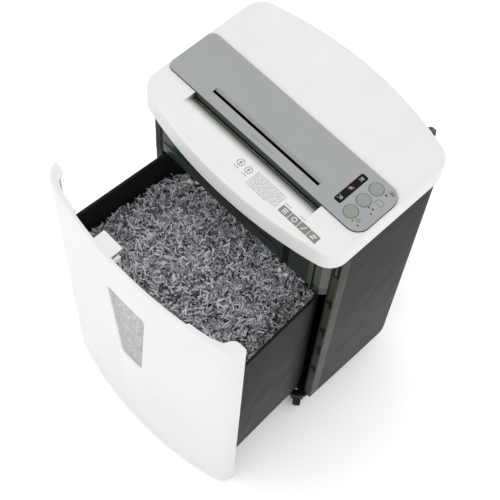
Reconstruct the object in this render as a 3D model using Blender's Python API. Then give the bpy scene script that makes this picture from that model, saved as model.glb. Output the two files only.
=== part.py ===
"""Deskside paper shredder with a pull-out bin: cabinet, feed head, cutters, drawer, casters and mains lead.

World frame: +X is the operator's right, along the feed slot. -Y is the front, where the drawer comes out.
+Z is up, and z = 0 is the floor under the wheels. The drawer is modelled pulled out by DRAWER_TRAVEL.
Sizes are in millimetres and are turned into metres where a mesh is made.
"""

import math

import bmesh
import bpy
from mathutils import Matrix, Vector

MM = 0.001

# Overall sizes
LID_W = 411.0
LID_D = 310.0
LID_TOP = 658.0
SKIRT_H = 43.0
CORNER_R = 35.0
FRONT_BOW = 20.5
BACK_BOW = 26.0

# Sheet and moulding thicknesses, and clearances between pieces
WALL = 3.0
SLAB = 9.0
SEAT = 0.4
RUN = 0.5

# Feed panel and its controls
PANEL_D = 97.0
PANEL_LEFT_R = 13.0
PANEL_RIGHT_R = 22.0
PANEL_BEHIND_FRONT = 76.5
PANEL_PROUD = 3.0
PANEL_RIM = 4.5
SLOT_LEN = 222.0
SLOT_W = 6.0
SLOT_X = -7.0
SLOT_AHEAD = 28.0
SLOT_SLOPE_W = 8.5
SLOT_SLOPE_H = 5.0
RECESS_LEN = 266.0
RECESS_REACH = 30.0
RECESS_DEPTH = 17.0
LIP_T = 3.0
BUTTON_R = 11.0
BUTTON_PITCH = 27.0
BUTTON_X = 165.5
BUTTON_H = 5.8
BUTTON_TRAVEL = 1.5
DISPLAY_X = 139.5
DISPLAY_W = 12.5
DISPLAY_L = 61.0
DISPLAY_T = 1.8

# Cabinet
SIDE_INSET = 1.5
SIDE_FRONT = 51.0
SIDE_CORNER_R = 55.0
BACK_INSET = 18.5
FLANGE_W = 16.0
TRAY_Z = 57.0
TRAY_T = 12.0
SIDE_BOTTOM = 67.0
HEAD_DROP = 133.0
HEAD_BACK_ROOM = 18.0
HEAD_AHEAD = 7.0

# Drawer
DRAWER_TRAVEL = 192.0
SEAM = 1.2
FRONT_FLOOR_GAP = 10.0
FRONT_WALL = 6.0
HORN_W = 20.0
CAP_T = 4.0
WINDOW_TOP_W = 82.0
WINDOW_BOTTOM_W = 47.0
WINDOW_H = 222.0
WINDOW_TOP_DROP = 102.0
WINDOW_R = 9.0
PANE_T = 2.0
TAB_X = -49.0
TAB_W = 40.0
TAB_D = 19.0
BIN_W = 372.0
BIN_TAPER = 0.047
BIN_BACK_CLEAR = 11.5
BIN_FRONT_R = 32.0
BIN_BACK_R = 52.0
BIN_TOP = 471.0
BIN_H = 387.0
BIN_WALL = 2.5
HEAP_BELOW_RIM = 72.0
HEAP_CROWN = 26.0
RUNNER_X = 150.0
RUNNER_W = 20.0
GLIDE_W = 8.0

# Cutting head
CUTTER_GAP = 30.0
CUTTER_R = 17.0
SPACER_R = 11.0
SHAFT_R = 6.0
DISC_COUNT = 15
CUTTER_DROP = 83.0
PLATE_T = 4.0
GEAR_MODULE = 2.0
GEAR_T = 10.0
SHAFT_TEETH = int(round(CUTTER_GAP / GEAR_MODULE))
IDLER_TEETH = 28
PINION_TEETH = 12
MOTOR_R = 32.0
MOTOR_L = 125.0

# Casters
WHEEL_R = 20.0
WHEEL_W = 14.0
CASTER_TRAIL = 8.0
CASTER_X = 170.0
CASTER_BEHIND_FRONT = 58.5
CASTER_AHEAD_BACK = 55.0
CASTER_TURNS = {"front_left": 0.0, "front_right": 40.0, "rear_left": 20.0, "rear_right": 0.0}

# Tray screws
SCREW_X = 174.0
SCREW_BEHIND_FRONT = 46.0

# Power switch
SWITCH_X = -110.0
SWITCH_DROP = 68.0

# Mains lead
CORD_D = 7.0
CORD_X = 128.0
CORD_DROP = 54.0
BOOT_L = 15.0
COIL_MEAN_D = 11.0 * CORD_D
COIL_TURNS_HIGH = 2

# Places that follow from the sizes above
HALF_W = LID_W / 2
ORIGIN_Y = DRAWER_TRAVEL / 2
LID_FRONT = -LID_D / 2 + ORIGIN_Y
LID_BACK = LID_FRONT + LID_D
SKIRT_Z = LID_TOP - SKIRT_H
PANEL_Y = LID_FRONT + PANEL_BEHIND_FRONT + PANEL_D / 2
PANEL_TOP = LID_TOP + PANEL_PROUD
PANEL_FLOOR = LID_TOP - SLAB + WALL
SLOT_Y = PANEL_Y - SLOT_AHEAD
RECESS_X0 = SLOT_X + 4.0 - RECESS_LEN / 2
SIDE_X = HALF_W - SIDE_INSET
SIDE_FRONT_Y = LID_FRONT + SIDE_FRONT
BACK_Y = LID_BACK - BACK_INSET
HEAD_X = SIDE_X - FLANGE_W - SEAT
HEAD_Z = SKIRT_Z - HEAD_DROP
HEAD_FRONT = SIDE_FRONT_Y - HEAD_AHEAD
HEAD_BACK = BACK_Y - WALL - HEAD_BACK_ROOM
FRONT_TOP = SKIRT_Z - SEAM
BIN_BOTTOM = BIN_TOP - BIN_H
BIN_FRONT = LID_FRONT - DRAWER_TRAVEL + FRONT_WALL + SEAT + 0.2
BIN_BACK = BACK_Y - WALL - BIN_BACK_CLEAR - DRAWER_TRAVEL
WINDOW_TOP = FRONT_TOP - WINDOW_TOP_DROP
TAB_REACH = abs(TAB_X) + TAB_W / 2
TAB_BACK = LID_FRONT - DRAWER_TRAVEL + FRONT_WALL + FRONT_BOW * (TAB_REACH / (HALF_W - CORNER_R)) ** 2 + TAB_D
CUTTER_Z = LID_TOP - CUTTER_DROP
CUT_X0 = SLOT_X - SLOT_LEN / 2 - 4.0
CUT_X1 = SLOT_X + SLOT_LEN / 2 + 4.0
PLATE_LEFT = CUT_X0 - 5.0
PLATE_RIGHT = CUT_X1 + 5.0
FRONT_SHAFT_Y = SLOT_Y - CUTTER_GAP / 2
REAR_SHAFT_Y = SLOT_Y + CUTTER_GAP / 2
IDLER_Y = REAR_SHAFT_Y + GEAR_MODULE * (SHAFT_TEETH + IDLER_TEETH) / 2
PINION_Y = IDLER_Y + GEAR_MODULE * (IDLER_TEETH + PINION_TEETH) / 2
GEAR_X = PLATE_RIGHT + PLATE_T + 2.0
CORD_Z = LID_TOP - CORD_DROP
SWITCH_Z = LID_TOP - SWITCH_DROP
SCREW_Y = LID_FRONT + SCREW_BEHIND_FRONT
CASTER_FRONT_Y = LID_FRONT + CASTER_BEHIND_FRONT
CASTER_REAR_Y = LID_BACK - CASTER_AHEAD_BACK - BACK_INSET
CASTERS = [
    (f"{depth}_{side}", sx * CASTER_X, y)
    for depth, y in (("front", CASTER_FRONT_Y), ("rear", CASTER_REAR_Y))
    for side, sx in (("left", -1), ("right", 1))
]

for old in list(bpy.data.objects):
    bpy.data.objects.remove(old, do_unlink=True)

part_collection = bpy.data.collections.new("paper_shredder")
cutter_collection = bpy.data.collections.new("cutters")
for collection in (part_collection, cutter_collection):
    bpy.context.scene.collection.children.link(collection)
cutter_collection.hide_render = True


def material(name, colour, roughness=0.5, metallic=0.0):
    made = bpy.data.materials.new(name)
    made.use_nodes = True
    shader = made.node_tree.nodes["Principled BSDF"]
    shader.inputs["Base Color"].default_value = (*colour, 1.0)
    shader.inputs["Roughness"].default_value = roughness
    shader.inputs["Metallic"].default_value = metallic
    made.diffuse_color = (*colour, 1.0)
    return made


def mesh_object(name, points, faces, helper=False):
    """An object from points in millimetres, with its normals facing out."""
    shell = bmesh.new()
    corners = [shell.verts.new(Vector(point) * MM) for point in points]
    for face in faces:
        shell.faces.new([corners[index] for index in face])
    bmesh.ops.recalc_face_normals(shell, faces=shell.faces)
    mesh = bpy.data.meshes.new(name)
    shell.to_mesh(mesh)
    shell.free()
    made = bpy.data.objects.new(name, mesh)
    if helper:
        cutter_collection.objects.link(made)
        made.hide_render = True
        made.display_type = "WIRE"
    else:
        part_collection.objects.link(made)
    return made


def finish(made, colour, roughness=0.5, metallic=0.0, pivot=None):
    """Gives the object its material, and its origin where it turns or slides."""
    made.data.materials.append(material(made.name, colour, roughness, metallic))
    if pivot is not None:
        place = Vector(pivot) * MM
        made.data.transform(Matrix.Translation(-place))
        made.location = place
    return made


def loft(name, rings, helper=False):
    """A closed solid through rings of points that all have the same number of corners."""
    count = len(rings[0])
    points = [point for ring in rings for point in ring]
    faces = [list(range(count))[::-1], [len(points) - count + i for i in range(count)]]
    for level in range(len(rings) - 1):
        base = level * count
        for i in range(count):
            j = (i + 1) % count
            faces.append([base + i, base + j, base + count + j, base + count + i])
    return mesh_object(name, points, faces, helper)


def prism(name, outline, low, high, axis="Z", helper=False):
    """An outline pushed along an axis: (x, y) for Z, (y, z) for X and (x, z) for Y."""
    place = {
        "Z": lambda a, b, c: (a, b, c),
        "X": lambda a, b, c: (c, a, b),
        "Y": lambda a, b, c: (a, c, b),
    }[axis]
    return loft(name, [[place(a, b, c) for a, b in outline] for c in (low, high)], helper)


def box(name, low, high, helper=False):
    x0, y0, z0 = low
    x1, y1, z1 = high
    return prism(name, [(x0, y0), (x1, y0), (x1, y1), (x0, y1)], z0, z1, "Z", helper)


def turned(name, profile, centre, axis, steps=24, helper=False):
    """A solid of revolution: profile is (distance along the axis, radius), from one end to the other."""
    turn = {
        "X": lambda s, u, v: (s, centre[0] + u, centre[1] + v),
        "Y": lambda s, u, v: (centre[0] + u, s, centre[1] + v),
        "Z": lambda s, u, v: (centre[0] + u, centre[1] + v, s),
    }[axis]
    rings = []
    for along, radius in profile:
        rings.append(
            [
                turn(along, radius * math.cos(a), radius * math.sin(a))
                for a in (2 * math.pi * (i + 0.5) / steps for i in range(steps))
            ]
        )
    return loft(name, rings, helper)


def combine(target, tool, operation):
    change = target.modifiers.new(tool.name, "BOOLEAN")
    change.operation = operation
    change.solver = "EXACT"
    change.object = tool
    return target


def cut(target, tool):
    return combine(target, tool, "DIFFERENCE")


def join(target, tool):
    return combine(target, tool, "UNION")


def arc(cx, cy, radius, start, end, steps):
    """Points on an arc, with its angles in degrees."""
    return [
        (cx + radius * math.cos(math.radians(a)), cy + radius * math.sin(math.radians(a)))
        for a in (start + (end - start) * i / steps for i in range(steps + 1))
    ]


def rounded_rectangle(x0, y0, x1, y1, radius, steps=4):
    return (
        arc(x1 - radius, y1 - radius, radius, 0, 90, steps)
        + arc(x0 + radius, y1 - radius, radius, 90, 180, steps)
        + arc(x0 + radius, y0 + radius, radius, 180, 270, steps)
        + arc(x1 - radius, y0 + radius, radius, 270, 360, steps)
    )


def panel_outline(grow):
    """The feed panel's plan. Its right corners, past the buttons, are rounder than its left ones."""
    x, y0, y1 = HALF_W - PANEL_RIM + grow, PANEL_Y - PANEL_D / 2 - grow, PANEL_Y + PANEL_D / 2 + grow
    left, right = PANEL_LEFT_R + grow, PANEL_RIGHT_R + grow
    return (
        arc(x - right, y1 - right, right, 0, 90, 6)
        + arc(-x + left, y1 - left, left, 90, 180, 5)
        + arc(-x + left, y0 + left, left, 180, 270, 5)
        + arc(x - right, y0 + right, right, 270, 360, 6)
    )


def front_edge(inset):
    """The lid's front and its corners, from right to left."""
    chord = HALF_W - CORNER_R
    bow_r = (chord * chord + FRONT_BOW * FRONT_BOW) / (2 * FRONT_BOW)
    lean = math.degrees(math.asin(chord / bow_r))
    corner_y = LID_FRONT + FRONT_BOW + CORNER_R
    points = arc(chord, corner_y, CORNER_R - inset, 0, -90 + lean, 5)
    middle = arc(0, LID_FRONT + CORNER_R + bow_r, bow_r + CORNER_R - inset, -90 + lean, -90 - lean, 12)
    return points + middle[1:-1] + arc(-chord, corner_y, CORNER_R - inset, -90 - lean, -180, 5)


def back_edge(inset):
    """The lid's back and its corners, from left to right."""
    chord = HALF_W - CORNER_R
    bow_r = (chord * chord + BACK_BOW * BACK_BOW) / (2 * BACK_BOW)
    lean = math.degrees(math.asin(chord / bow_r))
    corner_y = LID_BACK - BACK_BOW - CORNER_R
    points = arc(-chord, corner_y, CORNER_R - inset, 180, 90 + lean, 5)
    middle = arc(0, LID_BACK - CORNER_R - bow_r, bow_r + CORNER_R - inset, 90 + lean, 90 - lean, 12)
    return points + middle[1:-1] + arc(chord, corner_y, CORNER_R - inset, 90 - lean, 0, 5)


def lid_ring(inset, z):
    return [(x, y, z) for x, y in front_edge(inset) + back_edge(inset)]


WHITE = (0.86, 0.86, 0.85)
PANEL_GREY = (0.38, 0.40, 0.41)
CHARCOAL = (0.062, 0.067, 0.060)
DARK = (0.018, 0.021, 0.019)
STEEL = (0.42, 0.43, 0.44)


def make_lid():
    slab = loft(
        "top_lid",
        [
            lid_ring(0, SKIRT_Z),
            lid_ring(0, LID_TOP - 3.5),
            lid_ring(1.2, LID_TOP - 1.2),
            lid_ring(3.5, LID_TOP),
        ],
    )
    hollow = loft("lid_hollow", [lid_ring(WALL, SKIRT_Z - 5), lid_ring(WALL, LID_TOP - SLAB)], helper=True)
    cut(slab, hollow)
    seat = prism(
        "panel_seat",
        panel_outline(SEAT),
        PANEL_FLOOR,
        LID_TOP + 5,
        helper=True,
    )
    cut(slab, seat)
    front = PANEL_Y - PANEL_D / 2
    low = LID_TOP - RECESS_DEPTH
    under = LID_TOP - SLAB
    behind = front + LIP_T + SEAT
    x0, x1 = RECESS_X0, RECESS_X0 + RECESS_LEN
    tub = prism(
        "recess_tub",
        [
            (front - 18.5, under + 2),
            (front - 18.5, under - 2.5),
            (front - 4, low - WALL),
            (behind + WALL, low - WALL),
            (behind + WALL, under + 2),
        ],
        x0 - WALL,
        x1 + WALL,
        "X",
        helper=True,
    )
    join(slab, tub)
    scoop = prism(
        "hand_recess",
        [
            (front - RECESS_REACH, LID_TOP + 0.2),
            (front - 24, LID_TOP - 1.0),
            (front - 12, LID_TOP - RECESS_DEPTH * 0.45),
            (front - 5, LID_TOP - RECESS_DEPTH * 0.8),
            (front - 1, low),
            (behind, low),
            (behind, LID_TOP + 4),
            (front - RECESS_REACH, LID_TOP + 4),
        ],
        x0,
        x1,
        "X",
        helper=True,
    )
    cut(slab, scoop)
    through = box(
        "lid_slot",
        (SLOT_X - SLOT_LEN / 2 - 3, SLOT_Y - SLOT_W / 2 - 2, LID_TOP - SLAB - 5),
        (SLOT_X + SLOT_LEN / 2 + 3, SLOT_Y + SLOT_W / 2 + 2, LID_TOP + 5),
        helper=True,
    )
    cut(slab, through)
    finish(slab, WHITE, 0.35)


def make_feed_panel():
    panel = prism(
        "feed_panel",
        panel_outline(0),
        PANEL_FLOOR + SEAT,
        PANEL_TOP,
    )
    front = PANEL_Y - PANEL_D / 2
    lip = box(
        "panel_lip",
        (RECESS_X0 + 1.0, front + 0.2, LID_TOP - RECESS_DEPTH + 3.0),
        (RECESS_X0 + RECESS_LEN - 1.0, front + LIP_T, PANEL_FLOOR + 2.0),
        helper=True,
    )
    join(panel, lip)
    x0, x1 = SLOT_X - SLOT_LEN / 2, SLOT_X + SLOT_LEN / 2
    y0, y1 = SLOT_Y - SLOT_W / 2, SLOT_Y + SLOT_W / 2
    throat = prism(
        "feed_throat",
        [(y0, PANEL_FLOOR - 2), (y1, PANEL_FLOOR - 2), (y1, PANEL_TOP - SLOT_SLOPE_H),
         (y1 + SLOT_SLOPE_W, PANEL_TOP + 0.1), (y1 + SLOT_SLOPE_W, PANEL_TOP + 4), (y0, PANEL_TOP + 4)],
        x0,
        x1,
        "X",
        helper=True,
    )
    cut(panel, throat)
    for index in range(3):
        y = PANEL_Y + (index - 1) * BUTTON_PITCH + 1
        hole = turned(
            f"button_hole_{index}",
            [(PANEL_FLOOR - 2, BUTTON_R + RUN), (PANEL_TOP + 4, BUTTON_R + RUN)],
            (BUTTON_X, y),
            "Z",
            28,
            helper=True,
        )
        cut(panel, hole)
    pocket = prism(
        "display_pocket",
        rounded_rectangle(
            DISPLAY_X - DISPLAY_W / 2 - SEAT,
            PANEL_Y + 2 - DISPLAY_L / 2 - SEAT,
            DISPLAY_X + DISPLAY_W / 2 + SEAT,
            PANEL_Y + 2 + DISPLAY_L / 2 + SEAT,
            2.4,
        ),
        PANEL_TOP - DISPLAY_T,
        PANEL_TOP + 4,
        helper=True,
    )
    cut(panel, pocket)
    finish(panel, PANEL_GREY, 0.45)
    display = prism(
        "display_window",
        rounded_rectangle(
            DISPLAY_X - DISPLAY_W / 2,
            PANEL_Y + 2 - DISPLAY_L / 2,
            DISPLAY_X + DISPLAY_W / 2,
            PANEL_Y + 2 + DISPLAY_L / 2,
            2.0,
        ),
        PANEL_TOP - DISPLAY_T + SEAT,
        PANEL_TOP + 0.3,
    )
    finish(display, (0.012, 0.008, 0.008), 0.12)
    for index, word in enumerate(("front", "middle", "back")):
        y = PANEL_Y + (index - 1) * BUTTON_PITCH + 1
        top = PANEL_TOP + 0.6
        cap = turned(
            f"{word}_button",
            [(top - BUTTON_H, BUTTON_R), (top - 0.8, BUTTON_R), (top, BUTTON_R - 1.0)],
            (BUTTON_X, y),
            "Z",
            28,
        )
        finish(cap, (0.30, 0.33, 0.31), 0.4, pivot=(BUTTON_X, y, top - BUTTON_H))


def side_outline(hand):
    """The plan of one side panel: its front flange, its straight wall and its rounded back corner."""
    arc_y = BACK_Y - SIDE_CORNER_R
    arc_x = SIDE_X - SIDE_CORNER_R
    front = SIDE_FRONT_Y
    outer = [(SIDE_X - FLANGE_W, front), (SIDE_X - 2, front), (SIDE_X, front + 2)]
    outer += arc(arc_x, arc_y, SIDE_CORNER_R, 0, 90, 8)
    inner = arc(arc_x, arc_y, SIDE_CORNER_R - WALL, 90, 0, 8)
    inner += [(SIDE_X - WALL, front + WALL), (SIDE_X - FLANGE_W, front + WALL)]
    return [(hand * x, y) for x, y in outer + inner]


def make_cabinet():
    for hand, word in ((-1, "left"), (1, "right")):
        panel = prism(f"{word}_side_panel", side_outline(hand), SIDE_BOTTOM, SKIRT_Z - SEAT)
        finish(panel, CHARCOAL, 0.7)
    back_x = SIDE_X - SIDE_CORNER_R - SEAT
    back = box("back_panel", (-back_x, BACK_Y - WALL, SIDE_BOTTOM), (back_x, BACK_Y, SKIRT_Z - SEAT))
    boot_hole = turned(
        "boot_hole", [(BACK_Y - WALL - 5, 6.0), (BACK_Y + 5, 6.0)], (CORD_X, CORD_Z), "Y", 20, helper=True
    )
    cut(back, boot_hole)
    switch_hole = box(
        "switch_hole",
        (SWITCH_X - 7.0, BACK_Y - WALL - 5, SWITCH_Z - 11.0),
        (SWITCH_X + 7.0, BACK_Y + 5, SWITCH_Z + 11.0),
        helper=True,
    )
    cut(back, switch_hole)
    finish(back, CHARCOAL, 0.7)

    inset = SIDE_INSET + WALL + SEAT + 2.5
    low, high = TRAY_Z, TRAY_Z + TRAY_T
    front = front_edge(inset + 2.0)
    tray_back = BACK_Y - WALL - SEAT
    tray_side = SIDE_X - WALL - SEAT - 2.5
    outline = [(max(-tray_side, min(tray_side, x)), y) for x, y in front]
    corner_in = SIDE_CORNER_R - WALL - SEAT - 2.5
    corner = arc(-(SIDE_X - SIDE_CORNER_R), BACK_Y - SIDE_CORNER_R, corner_in, 180, 90, 6)
    corner = [(x, min(y, tray_back)) for x, y in corner]
    outline = outline + corner + [(-x, y) for x, y in reversed(corner)]
    tray = prism("base_tray", outline, low, high)
    for name, x, y in CASTERS:
        stem = turned(
            f"stem_hole_{name}", [(low - 5, 5.0 + RUN), (high - 2.5, 5.0 + RUN)], (x, y), "Z", 16, helper=True
        )
        cut(tray, stem)
    for hand in (-1, 1):
        name = "left" if hand < 0 else "right"
        socket = turned(
            f"screw_socket_{name}",
            [(high - 3.0, 4.0 + SEAT), (high + 4, 4.0 + SEAT)],
            (hand * SCREW_X, SCREW_Y),
            "Z",
            12,
            helper=True,
        )
        cut(tray, socket)
        screw = turned(
            f"{name}_tray_screw",
            [(high - 3.0 + SEAT, 3.9), (high + 0.4, 3.9), (high + 1.6, 2.6)],
            (hand * SCREW_X, SCREW_Y),
            "Z",
            12,
        )
        finish(screw, (0.7, 0.7, 0.69), 0.3, 1.0)
    for hand in (-1, 1):
        name = "left" if hand < 0 else "right"
        x0, x1 = sorted((hand * (SIDE_X - FLANGE_W - SEAT), hand * (SIDE_X + 5)))
        notch = box(
            f"flange_notch_{name}",
            (x0, SIDE_FRONT_Y - SEAT, SIDE_BOTTOM - SEAT),
            (x1, SIDE_FRONT_Y + WALL + SEAT, high + 5),
            helper=True,
        )
        cut(tray, notch)
    finish(tray, DARK, 0.6)

    rail_y0 = SIDE_FRONT_Y - 22.0
    rail_y1 = tray_back - 8.0
    for hand in (-1, 1):
        name = "left" if hand < 0 else "right"
        x = hand * RUNNER_X
        half = RUNNER_W / 2
        deep = half - 4.0
        base = high + SEAT
        section = [(x - half, base), (x + half, base), (x + half, base + 10), (x + deep, base + 10),
                   (x + deep, base + 2), (x - deep, base + 2), (x - deep, base + 10), (x - half, base + 10)]
        rail = prism(f"{name}_runner", section, rail_y0, rail_y1, "Y")
        finish(rail, STEEL, 0.35, 1.0)


def make_head():
    low = HEAD_Z
    high = LID_TOP - SLAB - SEAT
    y0, y1 = HEAD_FRONT, HEAD_BACK
    shell_x = HEAD_X
    corner = SIDE_CORNER_R - FLANGE_W
    slant = HEAD_AHEAD + 2.6
    outline = [(-shell_x, y0 + slant), (-shell_x + slant, y0), (shell_x - slant, y0), (shell_x, y0 + slant)]
    outline += arc(shell_x - corner, y1 - corner, corner, 0, 90, 5)
    outline += arc(-shell_x + corner, y1 - corner, corner, 90, 180, 5)
    inner = [(-shell_x + WALL, y0 + slant + 1.3), (-shell_x + slant + 1.3, y0 + WALL),
             (shell_x - slant - 1.3, y0 + WALL), (shell_x - WALL, y0 + slant + 1.3)]
    inner += arc(shell_x - corner, y1 - corner, corner - WALL, 0, 90, 5)
    inner += arc(-shell_x + corner, y1 - corner, corner - WALL, 90, 180, 5)
    housing = prism("head_housing", outline, low, high)
    hollow = prism("head_hollow", inner, low + WALL, high + 10, helper=True)
    cut(housing, hollow)
    discharge = box(
        "discharge",
        (CUT_X0 + 1, FRONT_SHAFT_Y - CUTTER_R + 1, low - 5),
        (CUT_X1 - 1, REAR_SHAFT_Y + CUTTER_R - 1, low + WALL + 5),
        helper=True,
    )
    cut(housing, discharge)
    finish(housing, DARK, 0.55)
    return low + WALL + SEAT


def gear_outline(teeth, centre_y, centre_z, phase):
    """Stub teeth in the Y-Z plane. phase is the angle in degrees of one tooth's middle."""
    pitch_r = GEAR_MODULE * teeth / 2
    pitch = 360.0 / teeth
    shape = (
        (-0.34, pitch_r - 1.15 * GEAR_MODULE),
        (-0.205, pitch_r),
        (-0.11, pitch_r + 0.75 * GEAR_MODULE),
        (0.11, pitch_r + 0.75 * GEAR_MODULE),
        (0.205, pitch_r),
        (0.34, pitch_r - 1.15 * GEAR_MODULE),
    )
    points = []
    for tooth in range(teeth):
        for offset, radius in shape:
            a = math.radians(phase + (tooth + offset) * pitch)
            points.append((centre_y + radius * math.cos(a), centre_z + radius * math.sin(a)))
    return points


def meshing_phase(teeth, phase, mate_teeth):
    """The phase that puts a mate's gap on a gear's tooth, where the mate stands on its +Y side."""
    pitch, mate_pitch = 360.0 / teeth, 360.0 / mate_teeth
    off_centre = (phase + pitch / 2) % pitch - pitch / 2
    return 180.0 - off_centre * mate_pitch / pitch + mate_pitch / 2


def gear(name, teeth, y, phase, hub_r, bore_r, x0=None):
    """A gear on an axis along X. It has either a bore or a shaft of its own."""
    x0 = GEAR_X if x0 is None else x0
    wheel = prism(name, gear_outline(teeth, y, CUTTER_Z, phase), x0, x0 + GEAR_T, "X")
    if bore_r:
        bore = turned(
            f"{name}_bore", [(x0 - 5, bore_r), (x0 + GEAR_T + 5, bore_r)], (y, CUTTER_Z), "X", 16, helper=True
        )
        cut(wheel, bore)
    if hub_r:
        stub = turned(
            f"{name}_shaft",
            [(PLATE_RIGHT - 5, hub_r), (x0 + GEAR_T - 2, hub_r)],
            (y, CUTTER_Z),
            "X",
            16,
            helper=True,
        )
        join(wheel, stub)
    return finish(wheel, STEEL, 0.35, 1.0, pivot=(x0, y, CUTTER_Z))


def cutter_profile(first):
    """A shaft with discs. The second shaft's discs start half a step later, between the first one's."""
    step = (CUT_X1 - CUT_X0) / (DISC_COUNT + 0.5)
    disc = step * 0.44
    start = CUT_X0 + (step * 0.03 if first else step * 0.53)
    end_left = PLATE_LEFT - PLATE_T - 3
    profile = [(end_left, SHAFT_R), (CUT_X0, SHAFT_R), (CUT_X0, SPACER_R)]
    for index in range(DISC_COUNT):
        x = start + index * step
        profile += [(x, SPACER_R), (x, CUTTER_R), (x + disc, CUTTER_R), (x + disc, SPACER_R)]
    profile += [(CUT_X1, SPACER_R), (CUT_X1, SHAFT_R), (GEAR_X + GEAR_T + 2, SHAFT_R)]
    return profile


def make_mechanism(floor_z):
    top = LID_TOP - SLAB - 3.0
    plate_y0 = FRONT_SHAFT_Y - CUTTER_R - 5.0
    for name, x, y1 in (
        ("left_bearing_plate", PLATE_LEFT - PLATE_T, REAR_SHAFT_Y + CUTTER_R + 6.0),
        ("gear_plate", PLATE_RIGHT, PINION_Y + MOTOR_R),
    ):
        plate = box(name, (x, plate_y0, floor_z), (x + PLATE_T, y1, CUTTER_Z + 33.0))
        for tag, y in (("front", FRONT_SHAFT_Y), ("rear", REAR_SHAFT_Y)):
            hole = turned(
                f"{name}_{tag}_hole",
                [(x - 5, SHAFT_R + RUN), (x + PLATE_T + 5, SHAFT_R + RUN)],
                (y, CUTTER_Z),
                "X",
                16,
                helper=True,
            )
            cut(plate, hole)
        if name == "gear_plate":
            for tag, y, radius in (("idler", IDLER_Y, 4.0), ("pinion", PINION_Y, 5.0)):
                hole = turned(
                    f"{name}_{tag}_hole",
                    [(x - 5, radius + RUN), (x + PLATE_T + 5, radius + RUN)],
                    (y, CUTTER_Z),
                    "X",
                    16,
                    helper=True,
                )
                cut(plate, hole)
        finish(plate, STEEL, 0.4, 1.0)

    span = (PLATE_LEFT + SEAT, PLATE_RIGHT - SEAT)
    for name, y in (
        ("front_feed_guide", SLOT_Y - SLOT_W / 2 - 1.5 - SEAT),
        ("rear_feed_guide", SLOT_Y + SLOT_W / 2 + SEAT),
    ):
        guide = box(name, (span[0], y, CUTTER_Z + CUTTER_R + 3.0), (span[1], y + 1.5, top + 3.0 - SEAT))
        finish(guide, STEEL, 0.4, 1.0)
    for name, y in (
        ("front_stripper", FRONT_SHAFT_Y - CUTTER_R - 3.0),
        ("rear_stripper", REAR_SHAFT_Y + CUTTER_R + 1.0),
    ):
        stripper = box(name, (span[0], y, floor_z + 8.0), (span[1], y + 2.0, CUTTER_Z))
        finish(stripper, STEEL, 0.4, 1.0)
    for name, y in (("front_tie_rod", FRONT_SHAFT_Y - 8.0), ("rear_tie_rod", REAR_SHAFT_Y + 8.0)):
        rod = turned(name, [(span[0], 3.5), (span[1], 3.5)], (y, CUTTER_Z - CUTTER_R - 12.0), "X", 12)
        finish(rod, STEEL, 0.35, 1.0)

    for name, y, first in (("front_cutter", FRONT_SHAFT_Y, True), ("rear_cutter", REAR_SHAFT_Y, False)):
        shaft = turned(name, cutter_profile(first), (y, CUTTER_Z), "X", 14)
        finish(shaft, STEEL, 0.3, 1.0, pivot=(SLOT_X, y, CUTTER_Z))

    front_phase = 0.0
    rear_phase = meshing_phase(SHAFT_TEETH, front_phase, SHAFT_TEETH)
    idler_phase = meshing_phase(SHAFT_TEETH, rear_phase, IDLER_TEETH)
    pinion_phase = meshing_phase(IDLER_TEETH, idler_phase, PINION_TEETH)
    gear("front_cutter_gear", SHAFT_TEETH, FRONT_SHAFT_Y, front_phase, None, SHAFT_R + 0.35)
    gear("rear_cutter_gear", SHAFT_TEETH, REAR_SHAFT_Y, rear_phase, None, SHAFT_R + 0.35)
    gear("idler_gear", IDLER_TEETH, IDLER_Y, idler_phase, 4.0, None)
    gear("motor_pinion", PINION_TEETH, PINION_Y, pinion_phase, 5.0, None)

    end = PLATE_RIGHT - SEAT
    motor = turned(
        "motor",
        [(end - MOTOR_L, MOTOR_R - 12), (end - MOTOR_L + 4, MOTOR_R - 3), (end - MOTOR_L + 14, MOTOR_R),
         (end - 8, MOTOR_R), (end, MOTOR_R - 4)],
        (PINION_Y, CUTTER_Z),
        "X",
        24,
    )
    hole = turned(
        "motor_hole", [(end - 12, 5.0 + RUN), (end + 5, 5.0 + RUN)], (PINION_Y, CUTTER_Z), "X", 16, helper=True
    )
    cut(motor, hole)
    finish(motor, (0.10, 0.10, 0.11), 0.45, 0.6)

    wall_x = -(HEAD_X - WALL - SEAT)
    board = box(
        "circuit_board",
        (wall_x, SLOT_Y + 40.0, floor_z + 15.0),
        (wall_x + 1.6, SLOT_Y + 130.0, floor_z + 115.0),
    )
    finish(board, (0.02, 0.10, 0.04), 0.5)
    switch = box(
        "door_switch",
        (TAB_X - 9.0, TAB_BACK + DRAWER_TRAVEL + SEAM, SKIRT_Z - 14.0),
        (TAB_X + 9.0, HEAD_FRONT - SEAT, SKIRT_Z - 1.5),
    )
    finish(switch, DARK, 0.5)


def window_outline(margin):
    """The window's plan in X and Z: wider at the top, with rounded corners."""
    top, bottom = WINDOW_TOP - margin, WINDOW_TOP - WINDOW_H + margin
    wide, narrow = WINDOW_TOP_W / 2 - margin, WINDOW_BOTTOM_W / 2 - margin
    r = WINDOW_R
    points = []
    corners = ((wide, top, 0), (-wide, top, 90), (-narrow, bottom, 180), (narrow, bottom, 270))
    for x, z, start in corners:
        sx = 1 if x > 0 else -1
        sz = 1 if z == top else -1
        points += arc(x - sx * r, z - sz * r, r, start, start + 90, 3)
    return points


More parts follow.
